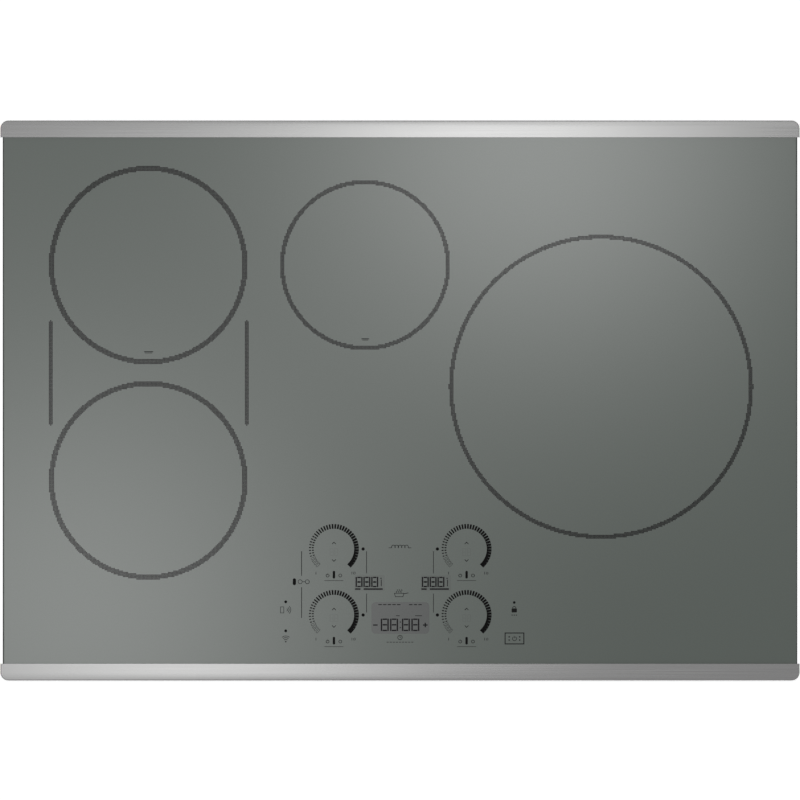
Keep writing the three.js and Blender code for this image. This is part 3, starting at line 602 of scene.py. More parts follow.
def build_dials():
    """Four power dials, each with arrows, a digit window, a power key and its lowest and highest number."""
    ticks, marks, lines, rules, windows = Print(), Print(), Print(), Print(), Print(WINDOW_RISE)
    for side in (-1, 1):
        for cy in DIAL_YS:
            cx = side * DIAL_X + DIAL_SHIFT
            for i in range(TICKS):
                t = i / (TICKS - 1)
                tick(ticks, cx, cy, math.radians(225 - 270 * t), t)
            for foot, tip in ((4.8, 6.4), (-10.1, -11.7)):
                marks.stroke(((cx - 1.6, cy + foot), (cx, cy + tip), (cx + 1.6, cy + foot)), 0.62)
            ticks.pill(cx, cy - 24.3, 2.3, 7.3)
            rules.bar(cx, cy - 29.9, 18.0, 0.45)
            power_symbol(lines, cx - 6.0, cy - 25.1, 1.4)
            lines.arc(cx + 6.0, cy - 25.1, 1.4, 0, 360, 0.5)
            lines.number("1", cx - 17.0, cy - 24.1, 0.55, 2.6)
            lines.number("10", cx + 18.6, cy - 24.1, 3.8, 2.6)
            ticks.dot(side * 35.1 + DIAL_SHIFT, cy, 1.55)
            digits(windows, cx, cy - 3.0, 2, 2.9, 3.3, 4.4, 0.7)
        for top, bottom in ((-142.4, -163.4), (-182.5, -200.4)):
            rules.bar(side * 31.6, (top + bottom) / 2, 0.65, top - bottom)
    ticks.finish("dial_ticks_print", BLACK_INK)
    marks.finish("dial_arrows_print", BLACK_INK)
    lines.finish("dial_numbers_print", LINE_INK)
    rules.finish("dial_rules_print", RULE_INK)
    windows.finish("dial_digit_windows", FAINT)


# Segments of a digit, as start and end on a unit grid that is 1 wide and 2 high.
SEGMENTS = (((0, 2), (1, 2)), ((0, 1), (1, 1)), ((0, 0), (1, 0)),
            ((0, 1), (0, 2)), ((1, 1), (1, 2)), ((0, 0), (0, 1)), ((1, 0), (1, 1)))


def digits(printer, x, y, count, width, height_half, pitch, stroke):
    """Unlit seven-segment digits centred on x, y. height_half is the height of one half of a digit."""
    def shift(level):
        """How far an upright segment's end stands off its level, in strokes: past the corners, clear of the middle."""
        return {0: -0.4, 1: 0.0, 2: 0.4}[level]

    for n in range(count):
        cx = x + (n - (count - 1) / 2) * pitch
        for (ax, ay), (bx, by) in SEGMENTS:
            dx, dy = bx - ax, by - ay
            a = (cx + (ax - 0.5) * width + 0.8 * stroke * dx, y + (ay - 1) * height_half + shift(ay) * stroke * dy)
            b = (cx + (bx - 0.5) * width - 0.8 * stroke * dx, y + (by - 1) * height_half + shift(by) * stroke * dy)
            length = math.hypot(b[0] - a[0], b[1] - a[1])
            printer.bar((a[0] + b[0]) / 2, (a[1] + b[1]) / 2, length, stroke, math.atan2(b[1] - a[1], b[0] - a[0]))


def build_displays():
    """The two power displays, the timer's window with its digits, and the symbols between them."""
    segments, symbols, window, small = Print(), Print(), Print(WINDOW_RISE), Print(WINDOW_RISE)
    for side in (-1, 1):
        cx = side * DISPLAY_X
        small.shape([(cx + 2.5 + a, DISPLAY_Y - 1.1 + b) for a, b in rounded(14.4, 7.6, 1.5, 4)])
        digits(segments, cx, DISPLAY_Y, 3, 5.3, 4.3, 7.4, 1.3)
        for n in (-1, 0, 1):
            segments.dot(cx + n * 7.4, DISPLAY_Y, 0.85)
        for x, y, width, height in ((13.3, 3.5, 1.6, 0.7), (13.6, -0.9, 0.7, 6.4), (-8.6, -6.7, 5.1, 1.4),
                                    (5.9, -6.7, 18.0, 1.4)):
            segments.bar(cx + x, DISPLAY_Y + y, width, height)
    window.shape([(0.4 + a, -205.5 + b) for a, b in rounded(27.4, 15.0, 4.0, 6)])
    for cx in (-14.4, -5.6, 5.6, 14.5):
        digits(segments, cx, TIMER_Y, 1, 6.2, 5.3, 8.8, 1.3)
    for dy in (-2.6, 2.6):
        segments.dot(0.25, TIMER_Y + dy, 0.6)
    for x, width, height in ((-23.3, 4.3, 1.1), (23.9, 4.3, 1.1), (23.9, 1.1, 4.3)):
        segments.bar(x, TIMER_Y - 0.2, width, height)
    for x, count in ((-10.0, 5), (14.6, 3)):
        for n in range(count):
            symbols.bar(x + (n - (count - 1) / 2) * 4.4, -192.9, 3.2, 0.8)
    for x, width in ((-2.0, 3.4), (17.6, 6.5)):
        symbols.bar(x, -203.4, width, 0.6)
    clock_symbol(symbols, 0.0, -224.0)
    for n in range(-4, 5):
        symbols.bar(n * 2.9, -228.4, 1.9, 0.6)
    coil_symbol(symbols, 0.0, -138.4)
    pan_symbol(symbols, 0.2, -182.2)
    window.finish("timer_window", WINDOW)
    small.finish("power_display_windows", FAINT)
    segments.finish("display_segments_print", SEGMENT_INK)
    symbols.finish("display_symbols_print", SYMBOL_INK)


def frame_outline(printer, x, y, width, height, stroke):
    for sign in (-1, 1):
        printer.bar(x, y + sign * (height - stroke) / 2, width, stroke)
        printer.bar(x + sign * (width - stroke) / 2, y, stroke, height - 2 * stroke)


def build_keys():
    """The keys beside the dials, and the small bars by two zones."""
    dots, symbols = Print(), Print()
    dots.pill(-99.8, DISPLAY_Y + 0.2, 3.1, 6.5)
    for x in (-94.4, -87.6):
        symbols.arc(x, DISPLAY_Y + 0.2, 1.9, 0, 360, 0.5)
    symbols.bar(-91.0, DISPLAY_Y + 0.2, 3.0, 0.5)
    for top, bottom in ((-142.4, -165.7), (-176.4, -205.4)):
        symbols.bar(-93.0, (top + bottom) / 2, 0.65, top - bottom)
    for y, symbol in ((-190.3, phone_symbol), (-217.7, waves_symbol)):
        dots.dot(-KEY_X, y, 1.35)
        symbol(symbols, -KEY_X, y - 7.6)
    dots.dot(KEY_X, -190.9, 1.25)
    padlock_symbol(symbols, KEY_X, -197.4)
    frame_outline(symbols, KEY_X + 0.2, -224.9, 18.6, 11.2, 0.9)
    power_symbol(symbols, KEY_X + 0.2, -225.1, 1.9)
    for side in (-1, 1):
        for dy in (-1.5, 1.5):
            symbols.dot(KEY_X + 0.2 + side * 5.0, -224.9 + dy, 0.7)
    for x, y, width in ((-237.6, 46.1, 8.5), (-32.8, 58.3, 7.2)):
        symbols.bar(x, y, width, 0.8)
        symbols.bar(x, y - 1.2, width * 0.8, 0.45)
    dots.finish("key_dots_print", BLACK_INK)
    symbols.finish("key_symbols_print", SYMBOL_INK)


# ---------------------------------------------------------------- finishes of the CAD nodes

GALVANISED = material("galvanised_steel", shades(0.39, 0.405, 0.415, 0.2), (0.34, 0.5), metallic=1.0,
                      scale=180, cells=True, bump=0.003, spread=(0.1, 0.9))
ZINC = material("zinc_plate", shades(0.50, 0.50, 0.475, 0.1), (0.24, 0.4), metallic=1.0, scale=400,
                detail=4, bump=0.004)
FRAME_PAINT = material("frame_powder_coat", shades(0.03, 0.031, 0.033, 0.2), (0.42, 0.55), scale=2200,
                       bump=0.02)
FOAM = material("seal_foam", shades(0.02, 0.02, 0.021, 0.35), (0.85, 0.98), scale=1400, cells=True,
                bump=0.08, spread=(0.1, 0.9))
ALUMINIUM = material("mill_aluminium", shades(0.72, 0.73, 0.74, 0.05), (0.28, 0.42), metallic=1.0,
                     scale=(900, 12, 900), detail=4, bump=0.002)
BLACK_PLASTIC = material("black_plastic", shades(0.018, 0.018, 0.019, 0.2), (0.42, 0.58), scale=2600,
                         bump=0.015)
RESIN = material("former_resin", shades(0.055, 0.05, 0.042, 0.25), (0.5, 0.68), scale=700, detail=5,
                 bump=0.02)
FELT = material("ceramic_felt", shades(0.70, 0.68, 0.62, 0.1), (0.9, 1.0), scale=(2500, 2500, 900), detail=6,
                bump=0.12, sheen=0.2)
CERAMIC = material("white_moulding", shades(0.70, 0.69, 0.65, 0.05), (0.25, 0.4), scale=600, bump=0.006)
SPRING_STEEL = material("spring_steel", shades(0.48, 0.49, 0.50, 0.1), (0.22, 0.35), metallic=1.0,
                        scale=1500, bump=0.004)
BOARD = material("solder_mask", shades(0.018, 0.09, 0.035, 0.25), (0.3, 0.45), scale=420, cells=True,
                 bump=0.02, coat=0.3, spread=(0.1, 0.9))
RUBBER = material("rubber", shades(0.02, 0.02, 0.02, 0.25), (0.75, 0.9), scale=1800, bump=0.03)
COPPER = material("enamelled_litz", ((0.34, 0.10, 0.035), (0.62, 0.26, 0.10)), (0.25, 0.42), metallic=0.9,
                  scale=1600, detail=4, bump=0.08, coat=0.4)

FINISHES = {
    "galvanised": GALVANISED, "zinc": ZINC, "frame_paint": FRAME_PAINT, "foam": FOAM, "aluminium": ALUMINIUM,
    "black_plastic": BLACK_PLASTIC, "former_resin": RESIN, "felt": FELT, "ceramic_white": CERAMIC,
    "spring_steel": SPRING_STEEL, "circuit_board": BOARD, "rubber_foot": RUBBER, "copper": COPPER,
    "glass": GLASS, "stainless": STEEL,
}
SLOTS = {mat.name: slot for slot, mat in FINISHES.items()}
BEVELS = {"foam": 0.35, "former_resin": 0.5, "black_plastic": 0.4, "galvanised": 0.3, "aluminium": 0.3,
          "frame_paint": 0.3, "zinc": 0.25, "circuit_board": 0.15, "felt": 0.3, "ceramic_white": 0.4}


def finish_cad_nodes():
    """Gives every CAD node its slot's material, and soft edges to the nodes that show."""
    for entry in frame["record"]["subparts"]:
        node = NODES[entry["node"]]
        slot = entry["material_slot"]
        node.data.materials.clear()
        node.data.materials.append(FINISHES[slot])
        if slot in BEVELS:
            soften(node, BEVELS[slot])


# ---------------------------------------------------------------- small hardware

CROSS_RECESS = (0.47, 0.40, 0.17, 0.15, 0.15)  # of the head's radius, from the middle of an arm outwards


def screw_head(radius=3.2, height=1.9):
    """A pan head with a cross recess."""
    sides = 32
    profile = ((radius, -0.3), (radius, height * 0.25), (radius * 0.93, height * 0.62), (radius * 0.72, height * 0.9),
               (radius * 0.55, height))
    rows = [[(*point, z) for point in ring(r, sides)] for r, z in profile]
    for z, scale in ((height * 0.99, 1.0), (height * 0.35, 0.8)):
        rows.append([(*polar(radius * CROSS_RECESS[min(i % 8, 8 - i % 8)] * scale, TURN * i / sides), z)
                     for i in range(sides)])
    return loft(rows)


def bead(half_length, half_width, height):
    """A pressed stiffening bead, standing on z = 0."""
    rows = []
    for inset, z in ((0, -0.4), (0, 0.0), (0.5, height * 0.55), (1.3, height * 0.92), (half_width * 0.6, height)):
        outline = rounded(half_length - inset, half_width - inset, (half_width - inset) * 0.999, 8)
        rows.append([(x, y, z) for x, y in outline])
    return loft(rows)


BOX_LOW, BOX_HIGH = span("box_pan")
PANEL_X = span("right_end_panel")[1].x
BRACKET_SHEET = 2.3
FRAME_LOW, FRAME_HIGH = span("glass_frame")


def build_box_hardware():
    """Screws, pressed stiffening beads and spot welds on the outside of the box."""
    screws, beads, welds = Batch(), Batch(), Batch()
    web = FRAME_LOW.z + 6.5
    weld = turned(((0, -0.3), (2.6, -0.3), (2.6, 0.02), (2.2, 0.14), (1.4, 0.1), (0, 0.06)), 20)
    for side in (-1, 1):
        for x in (-310, -190, -65, 65, 190, 310):
            screws.add(screw_head(), outward(x, side * FRAME_HIGH.y, web, (0, side, 0)))
        for y in (-190, -75, 75, 190):
            screws.add(screw_head(), outward(side * FRAME_HIGH.x, y, web, (side, 0, 0)))
        for y in (-232, 232):
            for z in (16, 60):
                screws.add(screw_head(2.6, 1.5), outward(side * PANEL_X, y, z, (side, 0, 0)))
        for y in (-130, 130):
            for z in (24, 46):
                beads.add(bead(75, 5, 1.1), outward(side * PANEL_X, y, z, (side, 0, 0)) @ spun(TURN / 4))
        for y in range(-220, 221, 55):
            if side < 0 or y < 170:  # clear of the conduit pocket
                welds.add(weld, outward(side * PANEL_X, y, 7, (side, 0, 0)))
    for y, side, centres in ((BOX_LOW.y, -1, (-235, 0, 235)), (BOX_HIGH.y, 1, (-45,))):
        for x in centres:
            for z in (24, 52):
                beads.add(bead(95, 5, 1.1), outward(x, y, z, (0, side, 0)))
        for x in range(-330, 331, 60):
            if side < 0 or x < 220:
                welds.add(weld, outward(x, y, 7, (0, side, 0)))
    screws.finish("box_screws", ZINC, sharp=40)
    beads.finish("box_stiffening_beads", GALVANISED, sharp=60)
    welds.finish("spot_welds", GALVANISED, sharp=60)


# ---------------------------------------------------------------- clamps

def hexagon_reach(radius, angle):
    """How far out a hexagon's flats lie in one direction."""
    return radius * math.cos(math.pi / 6) / math.cos((angle % (math.pi / 3)) - math.pi / 6)


def hexagon(radius, heights, sides=36):
    """A hexagonal head with chamfered corners."""
    low, high = heights
    rows = []
    for scale, z in ((0.86, low), (1.0, low + 0.6), (1.0, high - 0.2), (0.98, high)):
        rows.append([(*polar(min(hexagon_reach(radius, angle), radius * scale), angle), z)
                     for angle in (TURN * i / sides for i in range(sides))])
    return loft(rows)


def ring_hexagon(outer, inner, low, high, sides=36):
    """A hexagonal ring round Z."""
    loops = []
    for angle in (TURN * i / sides for i in range(sides)):
        soft = min(hexagon_reach(outer, angle), outer * 0.97)
        profile = ((inner, low), (soft - 0.5, low), (soft, low + 0.5), (soft, high - 0.5), (soft - 0.5, high),
                   (inner, high))
        loops.append([(*polar(r, angle), z) for r, z in profile])
    return hoop(loops)


def helix_ridge(root, crest, pitch, length, sides=28):
    """A V-shaped thread ridge wound round Z, closed at both ends."""
    steps = int(length / pitch * sides)
    half = pitch * 0.42
    rows = []
    for i in range(steps + 1):
        tip = root + 0.05 + (crest - root - 0.05) * min(1.0, i / 6, (steps - i) / 6)
        profile = ((root - 0.2, half), (tip, half * 0.12), (tip, -half * 0.12), (root - 0.2, -half))
        rows.append([(*polar(r, TURN * i / sides), i / sides * pitch + dz) for r, dz in profile])
    return loft(rows)


def build_clamps():
    """Each clamp's screw with its thread, the cup that it lifts, and the screws of its bracket."""
    head, neck = 4.0, 0.6
    for name, side in (("left", -1), ("right", 1)):
        low, high, centre = extent(f"{name}_clamp_screw")
        on_axis = moved(centre.x, centre.y)
        screw = Batch()
        screw.add(hexagon(5.5, (low.z, low.z + head)), on_axis)
        screw.add(turned(((0, low.z + 3.6), (2.55, low.z + 3.6), (2.55, high.z - 0.3), (2.0, high.z), (0, high.z)), 24),
                  on_axis)
        screw.finish(f"{name}_clamp_bolt", ZINC, body=f"{name}_clamp_screw_body", replaces=f"{name}_clamp_screw")
        thread = Batch()
        thread.add(helix_ridge(2.5, 3.0, 1.0, high.z - low.z - head - 2.0),
                   moved(centre.x, centre.y, low.z + head + neck))
        thread.finish(f"{name}_clamp_thread", ZINC, body=f"{name}_clamp_screw_body", sharp=50)
        low, high, centre = extent(f"{name}_clamp_pad")
        profile = [(0, low.z), (5.2, low.z), (6.0, low.z + 0.8), (6.0, high.z - 0.5), (5.6, high.z), (4.9, high.z),
                   (4.7, high.z - 0.4), (4.2, high.z - 0.4), (4.0, high.z), (2.6, high.z), (2.4, high.z - 0.4),
                   (0, high.z - 0.4)]
        foot = Batch()
        foot.add(turned(profile, 40), moved(centre.x, centre.y))
        foot.finish(f"{name}_clamp_cup", RUBBER, body=f"{name}_clamp_foot", replaces=f"{name}_clamp_pad")
        heads = Batch()
        low, high = span(f"{name}_clamp_bracket")
        for y in (-13, 13):
            for z in (high.z - 7, low.z + 12):
                heads.add(screw_head(2.9, 1.7), outward(side * (PANEL_X + BRACKET_SHEET), y, z, (side, 0, 0)))
        heads.finish(f"{name}_bracket_screws", ZINC, sharp=40)


# ---------------------------------------------------------------- conduit connector

def build_connector():
    """The conduit connector: a ribbed gland with a locknut and two clamping screws."""
    low, high, centre = extent("conduit_connector")
    start = low.y
    hub = high.y - 30.0
    place = moved(centre.x, 0, centre.z) @ Matrix.Rotation(-math.pi / 2, 4, "X")
    body = Batch()
    profile = [(8.0, start), (9.6, start), (10.3, start + 0.6), (10.3, hub - 0.2), (12.6, hub), (12.6, hub + 6),
               (13.2, hub + 6.6), (13.2, hub + 12), (12.0, hub + 12.6), (12.0, hub + 14)]
    for i in range(5):
        base = hub + 14 + i * 2.6
        profile += [(13.6, base + 0.3), (14.3, base + 0.7), (14.3, base + 1.8), (13.4, base + 2.3)]
    profile += [(13.4, high.y - 2.2), (14.2, high.y - 1.8), (14.2, high.y - 0.5), (13.7, high.y), (8.6, high.y),
                (8.0, high.y - 0.6)]
    body.add(tube(profile, 56), place)
    body.add(ring_hexagon(14.4, 12.2, hub + 1.0, hub + 8.0), place)
    for side in (-1, 1):
        body.add(screw_head(2.4, 1.6), place @ outward(side * 11.4, 0, hub + 12.5, (side * 0.9, 0, 0.45)))
    body.finish("conduit_connector_body", ZINC, replaces="conduit_connector")


# ---------------------------------------------------------------- coils

LITZ_STRANDS = 5
SPRING_WIRE = 0.6
SPRING_TURNS = 5
FERRITE_LOW, FERRITE_HIGH = 83.75, 88.3
FERRITE = material("ferrite", shades(0.028, 0.027, 0.028, 0.25), (0.5, 0.65), scale=900, detail=5,
                   bump=0.015)
TINNED = material("tinned_lead", shades(0.55, 0.55, 0.55, 0.1), (0.25, 0.4), metallic=1.0,
                  scale=800, bump=0.004)


def litz(radius, step_length, lay=26.0):
    """Section of a twisted litz rope: one lobe to each strand, turning as the rope runs."""
    angles = [TURN * k / (3 * LITZ_STRANDS) for k in range(3 * LITZ_STRANDS)]

    def section(i):
        twist = TURN * i * step_length / lay
        return [polar(radius * (0.93 + 0.07 * math.cos(LITZ_STRANDS * (angle - twist))), angle) for angle in angles]
    return section


def build_winding(zone):
    """A flat spiral of litz rope that fills its CAD ring."""
    low, high, centre = extent(f"{zone}_coil_winding")
    rope = (high.z - low.z) / 2 - 0.05
    outer = (high.x - low.x) / 2 - rope - 0.3
    inner = span(f"{zone}_coil_sensor")[1].x - centre.x + 19.2
    turns = int((outer - inner) / (2 * rope + 0.15))
    step_length = 5.0
    path = []
    angle = 0.0
    while angle < turns * TURN:
        r = inner + (outer - inner) * angle / (turns * TURN)
        path.append((*polar(r, angle, centre.x, centre.y), centre.z))
        angle += step_length / r
    coil = Batch()
    coil.add(swept(path, litz(rope, step_length)))
    coil.finish(f"{zone}_coil_spiral", COPPER, body=f"{zone}_coil", sharp=60, replaces=f"{zone}_coil_winding")


def build_ferrites(zone):
    """The ferrite bars under a former, glued into its six spokes."""
    low, high, centre = extent(f"{zone}_coil_former")
    start, end, half_width = 15.5, (high.x - low.x) / 2 - 5.5, 6.65
    bars = Batch()
    for i in range(6):
        rows = []
        for inset, z in ((0.8, FERRITE_LOW), (0.0, FERRITE_LOW + 0.85), (0.0, FERRITE_HIGH)):
            outline = rounded((end - start) / 2 - inset, half_width - inset, 1.0, 3)
            rows.append([(x + (end + start) / 2, y, z) for x, y in outline])
        bars.add(loft(rows), moved(centre.x, centre.y) @ spun(i * TURN / 6))
    bars.finish(f"{zone}_ferrite_bars", FERRITE, body=f"{zone}_coil", slot="former_resin")


def build_spring(zone, number):
    """A compression spring with closed ends."""
    node = f"{zone}_spring_{number}"
    low, high, centre = extent(node)
    radius = (high.x - low.x) / 2 - SPRING_WIRE
    sides = 20
    flat_turns = 1.0
    lead = 2.1 * SPRING_WIRE
    free = high.z - low.z - 2 * SPRING_WIRE - 2 * lead * flat_turns
    path = []
    for i in range(SPRING_TURNS * sides + 1):
        turn = i / sides
        after = max(turn - SPRING_TURNS + flat_turns, 0.0)
        share = min(max((turn - flat_turns) / (SPRING_TURNS - 2 * flat_turns), 0.0), 1.0)
        rise = SPRING_WIRE + lead * (min(turn, flat_turns) + after) + free * share
        path.append((*polar(radius, TURN * turn, centre.x, centre.y), low.z + rise))
    spring = make(f"{node}_wire", *swept(path, circle(SPRING_WIRE - 0.02)), [SPRING_STEEL], sharp=60, replaces=node)
    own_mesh(spring)


def build_former(zone):
    """The moulded former: hub, rim and six spokes, with a guide post at each spring."""
    low, high, centre = extent(f"{zone}_coil_former")
    rim = (high.x - low.x) / 2
    under, top = span(f"{zone}_spring_1")[1].z + 0.3, high.z
    hub, inner, outer = 6.0, (rim - 2) * 0.28, (rim - 2) * 0.45
    former = Batch()
    place = moved(centre.x, centre.y)
    former.add(tube([(hub, under), (inner, under), (inner, top - 0.4), (inner - 0.4, top), (hub, top)], 64), place)
    former.add(tube([(outer, under), (rim - 0.6, under), (rim, under + 0.6), (rim, top - 0.4), (rim - 0.4, top),
                     (outer + 0.4, top), (outer, top - 0.4)], 128), place)
    fan = [share * TURN / 6 for share in (-0.22, -0.11, 0, 0.11, 0.22)]
    spoke = [polar(outer + 1, angle) for angle in fan] + [polar(inner - 1, angle) for angle in reversed(fan)]
    for i in range(6):
        former.add(prism(spoke, under, top - 0.05), place @ spun(i * TURN / 6))
    profile = ((0, low.z), (2.0, low.z), (2.6, low.z + 0.8), (2.6, under + 0.5), (0, under + 0.5))
    for i in (1, 2, 3):
        post = middle(f"{zone}_spring_{i}")
        former.add(turned(profile, 24), moved(post.x, post.y))
    former.finish(f"{zone}_moulded_former", RESIN, body=f"{zone}_coil", replaces=f"{zone}_coil_former")


def build_pad_and_sensor(zone):
    """The felt ring on a winding, and the sensor capsule in its middle."""
    low, high, centre = extent(f"{zone}_coil_pad")
    place = moved(centre.x, centre.y)
    rim = (high.x - low.x) / 2
    pad = Batch()
    pad.add(tube([(9.0, low.z + 0.3), (9.3, low.z), (rim - 0.3, low.z), (rim, low.z + 0.4), (rim, high.z - 0.4),
                  (rim - 0.4, high.z), (9.4, high.z), (9.0, high.z - 0.4)], 128), place)
    pad.finish(f"{zone}_felt_ring", FELT, body=f"{zone}_coil", replaces=f"{zone}_coil_pad")
    low, high = span(f"{zone}_coil_sensor")
    shoulder = span(f"{zone}_coil_former")[1].z + 0.3
    sensor = Batch()
    sensor.add(turned(((0, low.z), (4.6, low.z), (5.7, low.z + 1.0), (5.7, shoulder), (6.6, shoulder),
                       (7.0, shoulder + 0.4), (7.0, high.z - 2.4), (6.4, high.z - 1.2), (5.4, high.z - 0.2),
                       (4.9, high.z), (0, high.z)), 48), place)
    sensor.finish(f"{zone}_sensor_capsule", CERAMIC, body=f"{zone}_coil", replaces=f"{zone}_coil_sensor")


def build_sensor_leads(zone):
    """Two insulated wires clipped under a former, from the sensor out to the former's edge."""
    low, high, centre = extent(f"{zone}_coil_former")
    start, end = 4.0, (high.x - low.x) / 2 - 3
    under = span(f"{zone}_coil_sensor")[0].z + 1.5
    turn = math.radians(-30)  # between two spokes
    leads = Batch()
    for aside in (-1.1, 1.1):
        path = []
        for i in range(25):
            share = i / 24
            bow = math.sin(math.pi * share)
            sway = aside + 1.2 * math.sin(3 * math.pi * share) * bow
            x, y = polar(start + (end - start) * share, turn, centre.x, centre.y)
            path.append((x - sway * math.sin(turn), y + sway * math.cos(turn), under - 0.6 * bow))
        leads.add(swept(path, circle(0.9)))
    leads.finish(f"{zone}_sensor_leads", CERAMIC, body=f"{zone}_coil", sharp=60)


# ---------------------------------------------------------------- boards and what stands on them

CAPACITOR_SHELL = material("capacitor_shell", shades(0.62, 0.16, 0.05, 0.08), (0.35, 0.5), scale=500,
                           bump=0.008)
FILM_SHELL = material("film_capacitor_shell", shades(0.66, 0.5, 0.06, 0.08), (0.35, 0.5), scale=500,
                      bump=0.008)
RELAY_SHELL = material("relay_shell", shades(0.03, 0.06, 0.16, 0.15), (0.3, 0.45), scale=500, bump=0.008)
GUIDE = material("milky_light_guide", shades(0.72, 0.74, 0.75, 0.04), (0.3, 0.45), scale=500,
                 bump=0.005)


BOARD_SHEET = 1.6
BOARD_TOP = span("left_heat_sink")[0].z - 0.3
PART_SLOTS = {BOARD.name: "circuit_board", COPPER.name: "copper", FELT.name: "felt", GUIDE.name: "ceramic_white",
              CERAMIC.name: "ceramic_white", TINNED.name: "zinc", ALUMINIUM.name: "aluminium"}


class Board:
    """A circuit board with its own components, centred on its CAD node. One mesh to each kind of part."""

    def __init__(self, node, top):
        low, high, centre = extent(node)
        self.node, self.x, self.y, self.top = node, centre.x, centre.y, top
        self.half_x, self.half_y = (high.x - low.x) / 2, (high.y - low.y) / 2
        self.parts = {}
        self.add(BOARD, prism(rounded(self.half_x, self.half_y, 2.0, 4), -BOARD_SHEET, 0))

    def add(self, mat, solid, x=0.0, y=0.0, z=0.0, turn=0.0):
        place = moved(self.x + x, self.y + y, self.top + z) @ spun(turn)
        self.parts.setdefault(mat.name, (mat, Batch()))[1].add(solid, place)

    def standoffs(self):
        """A moulded foot and its snap at each corner."""
        foot = turned(((0, -9.2), (4, -9.2), (4, -8.6), (3.2, -7.4), (3.2, -BOARD_SHEET), (0, -BOARD_SHEET)), 20)
        snap = turned(((0, 0), (2.4, 0), (2.6, 0.8), (1.4, 3.0), (0, 3.4)), 16)
        for sx in (-1, 1):
            for sy in (-1, 1):
                for solid in (foot, snap):
                    self.add(CERAMIC, solid, sx * (self.half_x - 7), sy * (self.half_y - 7))

    def can(self, mat, x, y, half_x, half_y, height, radius=1.2):
        """A moulded case with soft edges."""
        rows = []
        for inset, z in ((0, -0.3), (0, height - 1.2), (0.35, height - 0.35), (1.2, height)):
            outline = rounded(half_x - inset, half_y - inset, max(radius - inset * 0.5, 0.4), 4)
            rows.append([(a, b, z) for a, b in outline])
        self.add(mat, loft(rows), x, y)

    def toroid(self, x, y, outer, height, wires):
        """A wound ring core lying flat: the core, and turns of copper wire round it."""
        wire = 1.1
        low, high = 1.0 + 2 * wire, height - 2 * wire
        core = outer - 2 * wire
        hole = outer * 0.45 + 2 * wire
        self.add(FERRITE, tube([(hole, low), (core, low), (core, high), (hole, high)], 40), x, y)
        corners = [Vector((r, 0.0, z)) for r, z in ((core + wire, low - wire), (core + wire, high + wire),
                                                    (hole - wire, high + wire), (hole - wire, low - wire))]
        path = [a.lerp(b, t) for a, b in zip(corners, corners[1:] + corners[:1]) for t in (0.12, 0.5, 0.88)]
        for i in range(wires):
            angle = TURN * i / wires
            if abs(math.sin(angle)) >= 0.22:  # the gap between the two windings
                self.add(COPPER, ring_wire(path, wire), x, y, turn=angle)

    def chips(self, places, half_x, half_y, height):
        for x, y in places:
            self.can(BLACK_PLASTIC, x, y, half_x, half_y, height, 0.5)

    def resistors(self, x, y, count, pitch):
        """A row of small axial resistors just clear of the board."""
        body = turned(((0, -3), (0.9, -3), (1.25, -2.2), (1.05, -1.2), (1.05, 1.2), (1.25, 2.2), (0.9, 3), (0, 3)), 12)
        lead = turned(((0, -5), (0.3, -5), (0.3, 5), (0, 5)), 6)
        flat = Matrix.Rotation(math.pi / 2, 4, "X")
        for i in range(count):
            for mat, (verts, faces) in ((FELT, body), (TINNED, lead)):
                self.add(mat, ([flat @ Vector(v) for v in verts], faces), x + i * pitch, y, 1.4)

    def finish(self):
        """The board itself replaces the CAD node, and each kind of part is a piece of its own."""
        for name, (mat, batch) in self.parts.items():
            batch.finish(f"{self.node}_{name}", mat, slot=PART_SLOTS.get(name, "black_plastic"), sharp=40,
                         replaces=self.node if mat is BOARD else None)


def ring_wire(path, radius, sides=6):
    """A closed loop of wire in the XZ plane."""
    loops = []
    for i, point in enumerate(path):
        along = (path[(i + 1) % len(path)] - path[i - 1]).normalized()
        up = Vector((0, 1, 0)).cross(along)
        loops.append([tuple(point + Vector((0, 1, 0)) * a + up * b) for a, b in ring(radius, sides)])
    return hoop(loops)


def build_generator(name):
    """Capacitors and resistors beside the heat sink, switches on its flank, toroids and a relay beyond it."""
    board = Board(f"{name}_generator_board", BOARD_TOP)
    board.standoffs()
    lane = 64.5
    for y in (-50, 0, 50):
        board.can(CAPACITOR_SHELL, lane, y, 20, 15, 24)
        board.resistors(lane - 16, y - 20.5, 6, 5.2)
    for y in (-52, 12):
        board.toroid(-lane, y, 19, 30, 22)
    board.can(CERAMIC, -lane, 59, 14, 15, 18)
    board.chips([(-44, y) for y in (-60, -30, -18, 34)], 3.2, 2.4, 1.8)
    board.chips([(-88, y) for y in (-12, -20, 40, 48)], 2.2, 4.0, 1.8)
    for y in (-45, -15, 15, 45):
        board.can(BLACK_PLASTIC, 34.6, y, 2.4, 8, 20, 0.6)
        board.can(TINNED, 36.9, y, 0.5, 6.5, 3, 0.3)
    board.chips([(-35.0, y) for y in (-40, 0, 40)], 2.2, 7, 16)
    board.finish()


def build_filter():
    """Two chokes, a film capacitor, a relay, the supply connector with its screws, and small parts."""
    board = Board("filter_board", BOARD_TOP)
    board.standoffs()
    board.toroid(-42, 24, 24, 26, 26)
    board.toroid(18, 24, 24, 26, 26)
    board.can(FILM_SHELL, 60, 10, 12, 30, 28)
    board.can(RELAY_SHELL, -44, -36, 20, 14, 20)
    board.can(CERAMIC, 10, -38, 20, 12, 16)
    for i in range(4):
        board.add(ZINC, screw_head(2.6, 1.4), -3 + i * 9, -38, 16)
    board.can(CERAMIC, 70, -36, 8, 14, 14)
    board.resistors(33, -46, 5, 5)
    board.chips([(x, -8) for x in (-20, -12)], 2.5, 3.5, 1.8)
    board.finish()


